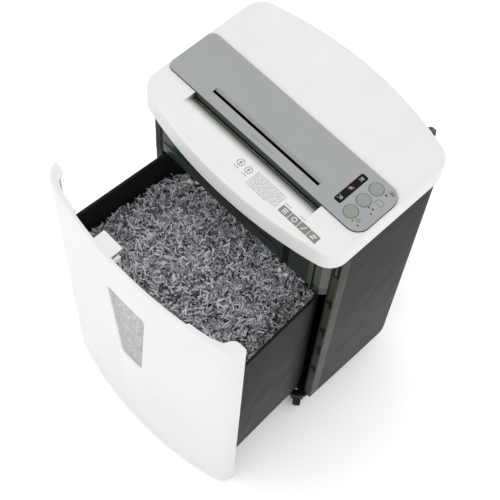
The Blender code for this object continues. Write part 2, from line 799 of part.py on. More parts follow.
def drawer_front_outline(inset, back_y):
    """The lid's front edge moved out by the drawer's travel, and ended at back_y."""
    chord = HALF_W - CORNER_R
    ahead = LID_FRONT + FRONT_BOW + CORNER_R - DRAWER_TRAVEL - back_y
    radius = CORNER_R - inset
    side = chord + (math.sqrt(radius * radius - ahead * ahead) if ahead > 0 else radius)
    points = [(x, y - DRAWER_TRAVEL) for x, y in front_edge(inset)]
    points = [(x, y) for x, y in points if y < back_y - 0.5]
    return [(side, back_y)] + points + [(-side, back_y)]


def make_drawer():
    back_y = SIDE_FRONT_Y - SEAM - DRAWER_TRAVEL
    outer = drawer_front_outline(0, back_y)
    inner = drawer_front_outline(FRONT_WALL, back_y)
    shell = prism("drawer_front", outer + inner[::-1], FRONT_FLOOR_GAP, FRONT_TOP)
    cap_inner = drawer_front_outline(FRONT_WALL - 3.0, back_y)
    edge_x = HALF_W - HORN_W
    for hand, word in ((-1, "left"), (1, "right")):
        rim = [p for p in cap_inner if hand * p[0] > 118.0]
        rim = rim if hand > 0 else rim[::-1]
        end_y = rim[-1][1]
        tail = [(hand * 122.0, end_y + 6.5), (hand * 158.0, end_y + 13.0), (hand * 176.0, end_y + 21.0),
                (hand * (edge_x - 1.5), back_y - 8.0), (hand * edge_x, back_y)]
        cap = prism(f"{word}_horn_cap", rim + tail, FRONT_TOP - CAP_T, FRONT_TOP - 0.02, helper=True)
        join(shell, cap)
    middle_y = LID_FRONT - DRAWER_TRAVEL
    opening = prism(
        "window_opening", window_outline(0), middle_y - 6, middle_y + FRONT_WALL + 6, "Y", helper=True
    )
    cut(shell, opening)
    finish(shell, WHITE, 0.35)

    pane = prism("window_pane", window_outline(SEAT), middle_y + 2.6, middle_y + 2.6 + PANE_T, "Y")
    finish(pane, (0.05, 0.06, 0.06), 0.1)

    tab = box(
        "interlock_tab",
        (TAB_X - TAB_W / 2, TAB_BACK - TAB_D + SEAT, FRONT_TOP - 3.0),
        (TAB_X + TAB_W / 2, TAB_BACK, FRONT_TOP - 0.2),
    )
    finish(tab, WHITE, 0.4)

    bin_box = loft("bin", [bin_ring(0, BIN_BOTTOM + z, shrink) for z, shrink in ((0, 3.0), (3.0, 0.0), (BIN_H, 0.0))])
    hollow = loft(
        "bin_hollow", [bin_ring(BIN_WALL, BIN_BOTTOM + BIN_WALL, 0), bin_ring(BIN_WALL, BIN_TOP + 5, 0)], helper=True
    )
    cut(bin_box, hollow)
    bin_window = prism(
        "bin_window", window_outline(4.0), BIN_FRONT - 6, BIN_FRONT + BIN_WALL + 8, "Y", helper=True
    )
    cut(bin_box, bin_window)
    finish(bin_box, (0.048, 0.050, 0.042), 0.5)

    base = BIN_BOTTOM + BIN_WALL + SEAT
    rim_z = BIN_TOP - HEAP_BELOW_RIM
    heap = loft(
        "shredded_paper",
        [
            bin_ring(BIN_WALL + 1.5, base, 0),
            bin_ring(BIN_WALL + 1.5, rim_z, 0),
            bin_ring(BIN_WALL + 40.0, rim_z + HEAP_CROWN * 0.55, 0),
            bin_ring(BIN_WALL + 90.0, rim_z + HEAP_CROWN, 0),
        ],
    )
    finish(heap, (0.42, 0.42, 0.43), 0.9)

    tray_top = TRAY_Z + TRAY_T
    for hand in (-1, 1):
        name = "left" if hand < 0 else "right"
        x = hand * RUNNER_X
        glide = box(
            f"{name}_glide",
            (x - GLIDE_W / 2, BIN_FRONT + 45.0, tray_top + SEAT + 2.0 + RUN),
            (x + GLIDE_W / 2, BIN_BACK - 16.0, BIN_BOTTOM - SEAT),
        )
        finish(glide, (0.55, 0.55, 0.54), 0.4)


def bin_ring(inset, z, shrink):
    """The bin's plan at one height. Its sides draw in towards the back."""
    inset = inset + shrink
    half = BIN_W / 2
    radius = BIN_FRONT_R
    back_r = BIN_BACK_R
    bow = FRONT_BOW * 0.82
    chord = half - radius
    bow_r = (chord * chord + bow * bow) / (2 * bow)
    lean = math.degrees(math.asin(chord / bow_r))
    corner_y = BIN_FRONT + bow + radius
    small = max(radius - inset, 1.0)
    move = max(inset - radius + 1.0, 0.0)
    steps = 3
    points = arc(chord - move, corner_y + move, small, 0, -90 + lean, steps)
    points += arc(0, BIN_FRONT + radius + bow_r + move, bow_r + small, -90 + lean, -90 - lean, 8)[1:-1]
    points += arc(-chord + move, corner_y + move, small, -90 - lean, -180, steps)
    small = max(back_r - inset, 1.0)
    move = max(inset - back_r + 1.0, 0.0)
    points += arc(-half + back_r + move, BIN_BACK - back_r - move, small, 180, 90, steps)
    points += arc(half - back_r - move, BIN_BACK - back_r - move, small, 90, 0, steps)
    return [(x * (1 - BIN_TAPER * max(0.0, y - corner_y) / half), y, z) for x, y in points]


def make_casters():
    for name, x, y in CASTERS:
        turn = math.radians(CASTER_TURNS[name])
        trail = Vector((math.sin(turn), -math.cos(turn)))
        side = Vector((math.cos(turn), math.sin(turn)))
        wheel_at = Vector((x, y)) + trail * CASTER_TRAIL

        def plan(along, across, z):
            spot = wheel_at + trail * along + side * across
            return (spot.x, spot.y, z)

        crown_z = WHEEL_R * 2 + 3.0
        crown = turned(
            f"caster_fork_{name}",
            [(crown_z, 15.0), (TRAY_Z - 4.5, 17.0), (TRAY_Z - 1.0, 15.0), (TRAY_Z - 1.0, 5.0), (TRAY_Z + TRAY_T - 4.0, 5.0)],
            (x, y),
            "Z",
            16,
        )
        half = WHEEL_W / 2 + 1.2
        for hand in (-1, 1):
            a, b = hand * half, hand * (half + 3.0)
            rings = []
            for along, z in ((-8.0, crown_z + 3.0), (-6.0, WHEEL_R - 5.0), (6.0, WHEEL_R - 5.0), (8.0, crown_z + 3.0)):
                rings.append((along, z))
            cheek = loft(
                f"cheek_{name}_{'a' if hand < 0 else 'b'}",
                [[plan(along, across, z) for along, z in rings] for across in (a, b)],
                helper=True,
            )
            join(crown, cheek)
        axle_hole = wheel_solid(f"axle_hole_{name}", wheel_at, side, [(-20.0, 3.5 + RUN), (20.0, 3.5 + RUN)], 12, True)
        cut(crown, axle_hole)
        finish(crown, DARK, 0.5, pivot=(x, y, TRAY_Z))
        reach = half + 2.6
        w = WHEEL_W / 2
        wheel = wheel_solid(
            f"caster_wheel_{name}",
            wheel_at,
            side,
            [(-reach, 3.5), (-w, 3.5), (-w, WHEEL_R - 2.0), (-w + 2.0, WHEEL_R), (w - 2.0, WHEEL_R),
             (w, WHEEL_R - 2.0), (w, 3.5), (reach, 3.5)],
            24,
            False,
        )
        finish(wheel, DARK, 0.4, pivot=(wheel_at.x, wheel_at.y, WHEEL_R))


def wheel_solid(name, centre, side, profile, steps, helper):
    """A solid turned about a level axis through the wheel's middle."""
    forward = Vector((-side.y, side.x))
    rings = []
    for across, radius in profile:
        ring = []
        for i in range(steps):
            a = 2 * math.pi * i / steps
            spot = centre + side * across + forward * (radius * math.cos(a))
            ring.append((spot.x, spot.y, WHEEL_R + radius * math.sin(a)))
        rings.append(ring)
    return loft(name, rings, helper)


def make_switch():
    """The mains rocker at the back and its bezel."""
    y = BACK_Y
    outer = [(SWITCH_X - 9.0, SWITCH_Z - 13.0), (SWITCH_X + 9.0, SWITCH_Z - 13.0),
             (SWITCH_X + 9.0, SWITCH_Z + 13.0), (SWITCH_X - 9.0, SWITCH_Z + 13.0)]
    bezel = prism("switch_bezel", outer, y + SEAT, y + 2.4, "Y")
    body = box(
        "switch_body",
        (SWITCH_X - 6.6, y - 14.0, SWITCH_Z - 10.6),
        (SWITCH_X + 6.6, y + 2.0, SWITCH_Z + 10.6),
        helper=True,
    )
    join(bezel, body)
    well = box(
        "switch_well",
        (SWITCH_X - 5.4, y - 8.0, SWITCH_Z - 9.4),
        (SWITCH_X + 5.4, y + 8.0, SWITCH_Z + 9.4),
        helper=True,
    )
    cut(bezel, well)
    finish(bezel, DARK, 0.5)
    lean = math.radians(8.0)
    pivot_y = y - 1.6
    section = []
    for up, out in ((-8.4, 4.6), (0.0, 3.2), (8.4, 4.6), (6.5, -1.0), (0.0, -2.0), (-6.5, -1.0)):
        section.append((
            pivot_y + out * math.cos(lean) - up * math.sin(lean),
            SWITCH_Z + up * math.cos(lean) + out * math.sin(lean),
        ))
    rocker = prism("power_rocker", section, SWITCH_X - 4.8, SWITCH_X + 4.8, "X")
    finish(rocker, DARK, 0.35, pivot=(SWITCH_X, pivot_y, SWITCH_Z))


def tube(name, path, diameter):
    """A round cord through points in millimetres."""
    curve = bpy.data.curves.new(name, "CURVE")
    curve.dimensions = "3D"
    line = curve.splines.new("POLY")
    line.points.add(len(path) - 1)
    for spot, point in zip(line.points, path):
        spot.co = (*(Vector(point) * MM), 1.0)
    curve.bevel_depth = diameter * MM / 2
    curve.bevel_resolution = 2
    curve.use_fill_caps = True
    made = bpy.data.objects.new(name, curve)
    part_collection.objects.link(made)
    made.data.materials.append(material(name, DARK, 0.5))
    return made


def smooth_path(knots, per_span):
    """Catmull-Rom points through the knots."""
    knots = [Vector(k) for k in knots]
    ends = [knots[0] * 2 - knots[1]] + knots + [knots[-1] * 2 - knots[-2]]
    points = []
    for i in range(len(knots) - 1):
        a, b, c, d = ends[i : i + 4]
        for step in range(per_span):
            t = step / per_span
            points.append(
                0.5 * ((2 * b) + (c - a) * t + (2 * a - 5 * b + 4 * c - d) * t * t + (3 * b - a - 3 * c + d) * t ** 3)
            )
    return points + [knots[-1]]


def make_lead():
    end_y = BACK_Y + BOOT_L
    boot = turned(
        "cord_boot",
        [(BACK_Y - WALL - 4.0, 5.4), (BACK_Y + SEAT, 5.4), (BACK_Y + SEAT, 9.0), (BACK_Y + 5.0, 9.0),
         (BACK_Y + 7.0, 7.5), (end_y, 5.0)],
        (CORD_X, CORD_Z),
        "Y",
        16,
    )
    finish(boot, DARK, 0.6)
    r = CORD_D / 2
    coil_r = COIL_MEAN_D / 2
    coil_x, coil_y = CORD_X - 70.0, BACK_Y + 130.0
    thick = CORD_D * 1.2
    coil_reach = coil_r + thick * math.cos(math.pi / 8)
    floor = r + 0.2
    knots = [
        (CORD_X, end_y + SEAT, CORD_Z),
        (CORD_X, end_y + 16.0, CORD_Z - 2.0),
        (CORD_X + 1.0, end_y + 30.0, CORD_Z - 18.0),
        (CORD_X + 2.0, end_y + 36.0, CORD_Z - 60.0),
        (CORD_X + 3.0, end_y + 36.0, 260.0),
        (CORD_X + 2.0, end_y + 40.0, 90.0),
        (CORD_X - 2.0, end_y + 50.0, 30.0),
        (CORD_X - 12.0, end_y + 66.0, floor + 2.0),
        (coil_x + coil_reach + r + 3.5, coil_y - 16.0, floor),
        (coil_x + coil_reach + r + SEAT, coil_y, floor),
    ]
    path = smooth_path(knots, 6)
    tube("power_cord", path, CORD_D)
    coil_high = CORD_D * COIL_TURNS_HIGH
    section = []
    for i in range(8):
        a = 2 * math.pi * (i + 0.5) / 8
        section.append((coil_r + thick * math.cos(a), 0.2 + coil_high / 2 * (1 + math.sin(a) / math.sin(math.radians(67.5)))))
    steps = 24
    points, faces = [], []
    for i in range(steps):
        a = 2 * math.pi * i / steps
        for radius, z in section:
            points.append((coil_x + radius * math.cos(a), coil_y + radius * math.sin(a), z))
    count = len(section)
    for i in range(steps):
        j = (i + 1) % steps
        for k in range(count):
            m = (k + 1) % count
            faces.append([i * count + k, j * count + k, j * count + m, i * count + m])
    coil = mesh_object("cord_coil", points, faces)
    finish(coil, DARK, 0.5)

    plug_z = 13.0 * 0.72 + 0.2
    tail_start = Vector((coil_x, coil_y + coil_reach + r + SEAT, floor))
    tail_end = tail_start + Vector((-86.0, -24.0, plug_z - floor))
    tail = smooth_path(
        [tail_start, tail_start + Vector((-26.0, 0.5, 0)), tail_start + Vector((-54.0, -7.0, 1.0)), tail_end], 6
    )
    tube("cord_tail", tail, CORD_D)
    lead_in = (tail[-1] - tail[-2]).normalized()
    plug_at = tail[-1] + lead_in * 3 * SEAT
    heading = math.atan2(lead_in.y, lead_in.x)
    profile = [(0.0, 5.0), (12.0, 6.5), (14.0, 12.0), (32.0, 13.0), (36.0, 11.0)]
    rings = []
    for along, radius in profile:
        ring = []
        for i in range(16):
            a = 2 * math.pi * i / 16
            across, up = radius * math.cos(a), radius * 0.72 * math.sin(a)
            ring.append((
                plug_at.x + along * math.cos(heading) - across * math.sin(heading),
                plug_at.y + along * math.sin(heading) + across * math.cos(heading),
                plug_z + up,
            ))
        rings.append(ring)
    plug = loft("mains_plug", rings)
    for hand in (-1, 1):
        rings = []
        for along in (30.0, 54.0):
            ring = []
            for i in range(8):
                a = 2 * math.pi * i / 8
                across, up = hand * 9.5 * 0.62 + 2.2 * math.cos(a), 2.2 * math.sin(a)
                ring.append((
                    plug_at.x + along * math.cos(heading) - across * math.sin(heading),
                    plug_at.y + along * math.sin(heading) + across * math.cos(heading),
                    plug_z + up,
                ))
            rings.append(ring)
        join(plug, loft(f"plug_pin_{'a' if hand < 0 else 'b'}", rings, helper=True))
    finish(plug, DARK, 0.5)


make_lid()
make_feed_panel()
make_cabinet()
make_mechanism(make_head())
make_drawer()
make_casters()
make_switch()
make_lead()
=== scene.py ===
import math
import random

import bmesh
import bpy
from mathutils import Matrix, Vector, noise


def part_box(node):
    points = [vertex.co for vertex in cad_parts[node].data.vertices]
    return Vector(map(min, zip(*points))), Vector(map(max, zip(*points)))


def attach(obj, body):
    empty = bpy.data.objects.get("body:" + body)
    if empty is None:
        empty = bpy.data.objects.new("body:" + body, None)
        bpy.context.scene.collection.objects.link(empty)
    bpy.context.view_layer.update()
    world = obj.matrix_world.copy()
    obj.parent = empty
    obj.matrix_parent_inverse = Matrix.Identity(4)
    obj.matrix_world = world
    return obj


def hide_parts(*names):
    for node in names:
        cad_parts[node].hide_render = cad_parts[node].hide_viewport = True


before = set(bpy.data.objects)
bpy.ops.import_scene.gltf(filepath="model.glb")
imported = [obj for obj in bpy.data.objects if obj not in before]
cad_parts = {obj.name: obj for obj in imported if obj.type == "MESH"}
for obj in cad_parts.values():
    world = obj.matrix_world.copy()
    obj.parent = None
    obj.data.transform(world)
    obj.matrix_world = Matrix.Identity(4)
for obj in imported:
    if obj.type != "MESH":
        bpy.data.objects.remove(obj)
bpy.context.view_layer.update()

bl_info = {
    "name": "Paper shredder",
    "version": (1, 0, 0),
    "blender": (4, 5, 0),
    "location": "3D View > Sidebar > Shredder",
    "description": "Builds the casing, controls, bin, shreds and mains lead of a paper shredder",
    "category": "Object",
}

MM = 0.001

# Sizes in millimetres that the frame's own boxes give
LID_LOW, LID_HIGH = (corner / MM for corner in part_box("top_lid"))
PANEL_LOW, PANEL_HIGH = (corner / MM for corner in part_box("feed_panel"))
FRONT_LOW, FRONT_HIGH = (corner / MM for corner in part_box("drawer_front"))
BIN_LOW, BIN_HIGH = (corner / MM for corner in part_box("bin"))
SIDE_LOW, SIDE_HIGH = (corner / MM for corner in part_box("right_side_panel"))
HEAD_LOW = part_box("head_housing")[0] / MM
BACK_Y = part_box("back_panel")[1].y / MM
HALF_W = LID_HIGH.x
LID_TOP = LID_HIGH.z
SKIRT_Z = LID_LOW.z
PANEL_TOP = PANEL_HIGH.z
PANEL_MID_Y = (PANEL_LOW.y + PANEL_HIGH.y) / 2
TRAVEL = LID_LOW.y - FRONT_LOW.y

# Sizes in millimetres that repeat the frame's shapes
CORNER_R = 35.0
FRONT_BOW = 20.5
BACK_BOW = 26.0
WALL = 3.0
SLAB = 9.0
SLOT_X, SLOT_Y, SLOT_LEN, SLOT_W = -7.0, PANEL_MID_Y - 28.0, 222.0, 6.0
RECESS_X0, RECESS_X1 = -136.0, 130.0
RECESS_REACH, RECESS_DEPTH = 30.0, 17.0
PANEL_LEFT_R, PANEL_RIGHT_R = 13.0, 22.0
BUTTON_X, BUTTON_R = 165.5, 11.0
BUTTON_YS = (PANEL_MID_Y - 26.0, PANEL_MID_Y + 1.0, PANEL_MID_Y + 28.0)
DISPLAY_X, DISPLAY_Y, DISPLAY_W, DISPLAY_L = 139.5, PANEL_MID_Y + 2.0, 12.5, 61.0
SIDE_CORNER_R = 55.0
FLANGE_W = 16.0
FRONT_WALL = 6.0
WINDOW_TOP, WINDOW_H, WINDOW_TOP_W, WINDOW_BOTTOM_W, WINDOW_R = 511.8, 222.0, 82.0, 47.0, 9.0
BIN_WALL = 2.5
BIN_TAPER = 0.047
BIN_FRONT_R, BIN_BACK_R = 32.0, 52.0
PANEL_SEAT_Z, PLATE_LOW = 652.0, 652.4
CORD_D = 7.0
COIL_TURNS = 4.25

# Places in millimetres of the printed strip on the lid, the edge strips' notches and the louvres
STRIP_X, STRIP_PITCH = 92.0, 18.8
NOTCH_HEIGHTS = (198.0, 285.0, 360.0, 469.0)
LOUVRE_LOW, LOUVRE_PITCH, LOUVRES = 500.0, 9.0, 9

# The heap, in millimetres, and the plan places of a few blank scraps on it
HEAP_RIM, HEAP_CROWN = BIN_HIGH.z - 72.0, 26.0
STRAY_BITS = ((-126.0, 12.0), (-134.0, 4.0), (-112.0, 13.0), (84.0, -2.0), (97.0, 0.0))
WINDOW_SHREDS = 1500

# The camera's place in metres, its angles in degrees and its lens shift
CAMERA_PLACE = (0.60857, -0.67225, 2.10015)
CAMERA_AZIMUTH, CAMERA_ELEVATION, CAMERA_ROLL = 39.31, 61.52, 7.18
CAMERA_SHIFT = (-0.0429, -0.0340)

# Each light's name, its place and size in metres, and its power in watts. All point at LIT_POINT
LIT_POINT = (0.0, 0.0, 0.5)
LIGHTS = (
    ("key light", (-1.8, -1.6, 2.6), 2.2, 7.0),
    ("front light", (-0.9, -3.2, 1.3), 1.8, 4.0),
)
FLOOR_REACH = 9000


# ---------------------------------------------------------------- colour and materials

def linear(hex_colour):
    """An sRGB hex colour as linear red, green, blue and 1."""
    parts = [int(hex_colour[i : i + 2], 16) / 255 for i in (1, 3, 5)]
    return (*(p / 12.92 if p <= 0.04045 else ((p + 0.055) / 1.055) ** 2.4 for p in parts), 1.0)


def add(tree, kind, sockets=None, **settings):
    """A shader node with its settings, its sockets' values and the outputs that feed them."""
    node = tree.nodes.new(kind)
    for name, value in settings.items():
        setattr(node, name, value)
    for name, value in (sockets or {}).items():
        if isinstance(value, bpy.types.NodeSocket):
            tree.links.new(value, node.inputs[name])
        else:
            node.inputs[name].default_value = value
    return node


def new_material(name, **sockets):
    """An empty Principled material. Underscores in a socket's name stand for spaces."""
    made = bpy.data.materials.new(name)
    made.use_nodes = True
    tree = made.node_tree
    shader = tree.nodes["Principled BSDF"]
    for socket, value in sockets.items():
        shader.inputs[socket.replace("_", " ")].default_value = value
    return made, tree, shader


def blended(tree, factor, low, high, start=0.35, end=0.65):
    """A colour between two hex colours, by a noise value."""
    ramp = add(tree, "ShaderNodeValToRGB", {"Fac": factor})
    ramp.color_ramp.elements[0].position = start
    ramp.color_ramp.elements[0].color = linear(low)
    ramp.color_ramp.elements[1].position = end
    ramp.color_ramp.elements[1].color = linear(high)
    return ramp.outputs["Color"]


def moulded(name, colour, shade, roughness, grain_mm, depth_mm, patch_mm=45.0, spread=0.06, **sockets):
    """Moulded plastic: a fine spark-eroded grain, and a faint unevenness of tone over some centimetres."""
    made, tree, shader = new_material(name, Roughness=roughness, **sockets)
    where = add(tree, "ShaderNodeTexCoord").outputs["Object"]
    grain = add(tree, "ShaderNodeTexNoise", {"Vector": where, "Scale": 1 / (grain_mm * MM), "Detail": 2.0})
    patch = add(tree, "ShaderNodeTexNoise", {"Vector": where, "Scale": 1 / (patch_mm * MM), "Detail": 3.0})
    both = add(tree, "ShaderNodeMath", {0: patch.outputs["Fac"], 1: grain.outputs["Fac"]}, operation="ADD")
    half = add(tree, "ShaderNodeMath", {0: both.outputs[0], 1: 0.5}, operation="MULTIPLY")
    tree.links.new(blended(tree, half.outputs[0], shade, colour), shader.inputs["Base Color"])
    rough = add(
        tree,
        "ShaderNodeMapRange",
        {"Value": patch.outputs["Fac"], "From Min": 0.3, "From Max": 0.7,
         "To Min": max(0.02, roughness - spread), "To Max": roughness + spread},
    )
    tree.links.new(rough.outputs["Result"], shader.inputs["Roughness"])
    bump = add(
        tree, "ShaderNodeBump", {"Height": grain.outputs["Fac"], "Distance": depth_mm * MM, "Strength": 1.0}
    )
    tree.links.new(bump.outputs["Normal"], shader.inputs["Normal"])
    return made


def drawn_steel(name, colour, shade, roughness, along="X", line_mm=0.8):
    """Sheet or bar steel: fine lines the way it was rolled or ground, and duller patches of dried oil."""
    made, tree, shader = new_material(name, Metallic=1.0, Roughness=roughness)
    where = add(tree, "ShaderNodeTexCoord").outputs["Object"]
    stretch = [1 / (line_mm * MM)] * 3
    stretch["XYZ".index(along)] /= 40.0
    line_place = add(tree, "ShaderNodeMapping", {"Vector": where, "Scale": stretch}).outputs["Vector"]
    lines = add(tree, "ShaderNodeTexNoise", {"Vector": line_place, "Scale": 1.0, "Detail": 2.0})
    patch = add(tree, "ShaderNodeTexNoise", {"Vector": where, "Scale": 1 / 0.018, "Detail": 4.0})
    tree.links.new(blended(tree, patch.outputs["Fac"], shade, colour), shader.inputs["Base Color"])
    rough = add(
        tree,
        "ShaderNodeMapRange",
        {"Value": lines.outputs["Fac"], "From Min": 0.3, "From Max": 0.7,
         "To Min": roughness - 0.08, "To Max": roughness + 0.1},
    )
    tree.links.new(rough.outputs["Result"], shader.inputs["Roughness"])
    height = {"Height": lines.outputs["Fac"], "Distance": 0.02 * MM, "Strength": 0.6}
    bump = add(tree, "ShaderNodeBump", height)
    tree.links.new(bump.outputs["Normal"], shader.inputs["Normal"])
    return made


def shred_paper(name, paper, printed, share):
    """Office paper cut small: pale sheet with grey and dark flecks where print was cut through."""
    made, tree, shader = new_material(name, Roughness=0.85)
    where = add(tree, "ShaderNodeTexCoord").outputs["Object"]
    print_marks = add(tree, "ShaderNodeTexNoise", {"Vector": where, "Scale": 1 / (4.0 * MM), "Detail": 3.0})
    tone = blended(tree, print_marks.outputs["Fac"], printed, paper, share - 0.05, share + 0.07)
    tree.links.new(tone, shader.inputs["Base Color"])
    fibre = add(tree, "ShaderNodeTexNoise", {"Vector": where, "Scale": 1 / (0.5 * MM), "Detail": 2.0})
    height = {"Height": fibre.outputs["Fac"], "Distance": 0.03 * MM, "Strength": 1.0}
    bump = add(tree, "ShaderNodeBump", height)
    tree.links.new(bump.outputs["Normal"], shader.inputs["Normal"])
    return made


def paint_shade_ramp(made, axis, start, end, stops):
    """Paints shade into a material: multiplies its colour by a ramp along an axis, between two places in
    millimetres.
    """
    tree = made.node_tree
    shader = tree.nodes["Principled BSDF"]
    where = add(tree, "ShaderNodeTexCoord").outputs["Object"]
    place = add(tree, "ShaderNodeSeparateXYZ", {"Vector": where}).outputs[axis]
    share = add(tree, "ShaderNodeMapRange", {"Value": place, "From Min": start * MM, "From Max": end * MM})
    ramp = add(tree, "ShaderNodeValToRGB", {"Fac": share.outputs["Result"]})
    while len(ramp.color_ramp.elements) < len(stops):
        ramp.color_ramp.elements.new(0.5)
    for stop, (position, colour) in zip(ramp.color_ramp.elements, stops):
        stop.position, stop.color = position, linear(colour)
    tone = shader.inputs["Base Color"].links[0].from_socket
    sockets = {"Fac": 1.0, "Color1": tone, "Color2": ramp.outputs["Color"]}
    mixed = add(tree, "ShaderNodeMixRGB", sockets, blend_type="MULTIPLY")
    tree.links.new(mixed.outputs["Color"], shader.inputs["Base Color"])
    return made


def make_materials():
    dull = {"Specular_IOR_Level": 0.28}
    return {
        # High-impact polystyrene from a fine-etched mould: soft wide highlights on near-white
        "white": moulded("satin white moulded ABS", "#D8D8D7", "#D3D3D2", 0.42, 0.5, 0.012),
        # The same white with painted shade, darkest next to the feed panel, where the panel shades it
        "white_painted_recess_shade": paint_shade_ramp(
            moulded("satin white moulded ABS in the hand recess", "#D8D8D7", "#D3D3D2", 0.42, 0.5, 0.012),
            "Y", PANEL_LOW.y - 23, PANEL_LOW.y - 1,
            ((0.0, "#FFFFFF"), (0.45, "#D4D6D2"), (0.75, "#9A9E97"), (1.0, "#3A413A")),
        ),
        # The same moulding in mid grey: an even, slightly cool face
        "panel": moulded("satin grey moulded ABS", "#949697", "#8F9192", 0.46, 0.5, 0.012),
        # The slot's ramp, a little darker and browner than the face
        "ramp": moulded("grey ABS feed ramp", "#8A8C87", "#838580", 0.5, 0.5, 0.012),
        # The panel's edge, a darker olive: it draws the panel's outline against the lid
        "lip": moulded("olive-grey ABS edge", "#494F47", "#434941", 0.5, 0.5, 0.012, **dull),
        # Coarser spark-eroded grain, drawn at 1.1 mm so that it shows: a dark face that breaks up highlights
        "side": moulded(
            "charcoal grained polystyrene", "#272A26", "#1D201C", 0.64, 1.1, 0.09, Specular_IOR_Level=0.22
        ),
        "side_band": moulded("charcoal satin polystyrene", "#2A2E29", "#252924", 0.5, 0.6, 0.02, **dull),
        # The bin's wall, with painted shade that darkens it towards the rear, under the cutting head
        "bin": paint_shade_ramp(
            moulded("dark grey polypropylene with painted shade at the rear", "#20231F", "#1B1E19", 0.6, 0.7, 0.03, Specular_IOR_Level=0.2),
            "Y", BIN_HIGH.y - 84, BIN_HIGH.y - 58, ((0.0, "#FFFFFF"), (1.0, "#3A3D3A")),
        ),
        # The bin's inside, its rim and its floor: the same plastic, drawn darker as painted shade
        "bin_inside_painted_shade": moulded(
            "bin polypropylene darkened by painted shade", "#141B17", "#0F1511", 0.55, 0.7, 0.02, Specular_IOR_Level=0.15
        ),
        "black": moulded("black moulded ABS", "#10130F", "#0C0F0B", 0.5, 0.8, 0.02, Specular_IOR_Level=0.12),
        "fascia": moulded("dark green-grey moulded ABS", "#2B352D", "#222B24", 0.42, 0.8, 0.02, **dull),
        "rib": moulded("olive-grey moulded ABS", "#4C5147", "#434840", 0.45, 0.8, 0.02, **dull),
        "strip": moulded("olive polypropylene strip", "#37382C", "#2E2F24", 0.5, 0.8, 0.02, **dull),
        "button": moulded("grey satin keycap", "#838A84", "#7E857F", 0.4, 0.6, 0.015),
        "symbol": moulded("dark pad-printed ink", "#3C443F", "#373E39", 0.55, 0.6, 0.004, **dull),
        "pale_symbol": moulded("pale pad-printed ink", "#73797B", "#6D7375", 0.55, 0.6, 0.004),
        "grey_mark": moulded("grey pad-printed ink", "#777B76", "#70746F", 0.55, 0.6, 0.004),
        "display": moulded(
            "black glossy acrylic", "#120A0B", "#0C0707", 0.12, 2.0, 0.002, Specular_IOR_Level=0.12
        ),
        "lamp": moulded("unlit pale lamp lens", "#8A8082", "#7A7173", 0.3, 0.6, 0.003),
        "steel": drawn_steel("zinc-plated pressed steel", "#A9ACAE", "#8D9193", 0.34, "Y"),
        "cutter": drawn_steel("ground hardened steel", "#999C9E", "#75797B", 0.28, "X"),
        "gear": drawn_steel("sintered steel", "#7C7F81", "#5F6365", 0.45, "X"),
        "motor": moulded("black enamelled steel can", "#2B2C2E", "#232426", 0.35, 1.5, 0.01),
        "board": moulded("green solder-resist laminate", "#1F5A38", "#194B2E", 0.35, 2.5, 0.02),
        "nylon": moulded("natural nylon", "#BFBDB4", "#B4B2A8", 0.45, 0.9, 0.01),
        "rubber": moulded(
            "black caster rubber", "#191A19", "#131413", 0.7, 1.0, 0.03, Specular_IOR_Level=0.2
        ),
        "cable": moulded("black PVC cable sheath", "#141515", "#0F1010", 0.42, 1.0, 0.008, **dull),
        # Office paper cut small: chalky, with fibre in the surface, and darker where print was cut through.
        # The mid and dark tones are partly print and partly painted shade among the shreds, and the bed's
        # near-black is painted shade under them
        "paper_light": shred_paper("white office paper shreds", "#E8E9ED", "#9C9EA2", 0.38),
        "paper_mid": shred_paper("printed office paper shreds with painted shade", "#B4B5B9", "#6A6C70", 0.45),
        "paper_dark": shred_paper("solid-printed paper shreds with painted shade", "#68696D", "#333538", 0.5),
        "paper_white": shred_paper("blank white paper scraps", "#FBFCFB", "#ECEDEC", 0.3),
        # The bed: paper drawn near black as painted shade under the loose shreds
        "paper_bed_painted_shade": shred_paper("packed paper shreds in painted shade", "#2E2F31", "#101112", 0.52),
    }


def window_acrylic():
    """Clear acrylic, injection moulded: a faint smoky tint and a clean mirror highlight."""
    made, tree, shader = new_material(
        "smoked clear acrylic", Roughness=0.04, IOR=1.49, Transmission_Weight=1.0, Alpha=1.0
    )
    where = add(tree, "ShaderNodeTexCoord").outputs["Object"]
    wave = add(tree, "ShaderNodeTexNoise", {"Vector": where, "Scale": 1 / 0.03, "Detail": 1.0})
    tree.links.new(blended(tree, wave.outputs["Fac"], "#DCDCD8", "#E6E5E1"), shader.inputs["Base Color"])
    return made


# ---------------------------------------------------------------- shapes

def new_object(name, mesh, material):
    made = bpy.data.objects.new(name, mesh)
    bpy.context.scene.collection.objects.link(made)
    if material is not None:
        mesh.materials.append(material)
    return made


def shell(name, points, faces, material=None):
    """An object from points in millimetres, with its faces turned out."""
    work = bmesh.new()
    corners = [work.verts.new(Vector(point) * MM) for point in points]
    for face in faces:
        work.faces.new([corners[index] for index in face])
    bmesh.ops.recalc_face_normals(work, faces=work.faces)
    mesh = bpy.data.meshes.new(name)
    work.to_mesh(mesh)
    work.free()
    return new_object(name, mesh, material)


def loft(name, rings, material=None, closed=False):
    """A solid through rings with the same number of corners. closed joins the last ring to the first."""
    count = len(rings[0])
    points = [point for ring in rings for point in ring]
    faces = [] if closed else [list(range(count))[::-1], [len(points) - count + i for i in range(count)]]
    for level in range(len(rings) if closed else len(rings) - 1):
        base, after = level * count, (level + 1) % len(rings) * count
        for i in range(count):
            j = (i + 1) % count
            faces.append([base + i, base + j, after + j, after + i])
    return shell(name, points, faces, material)


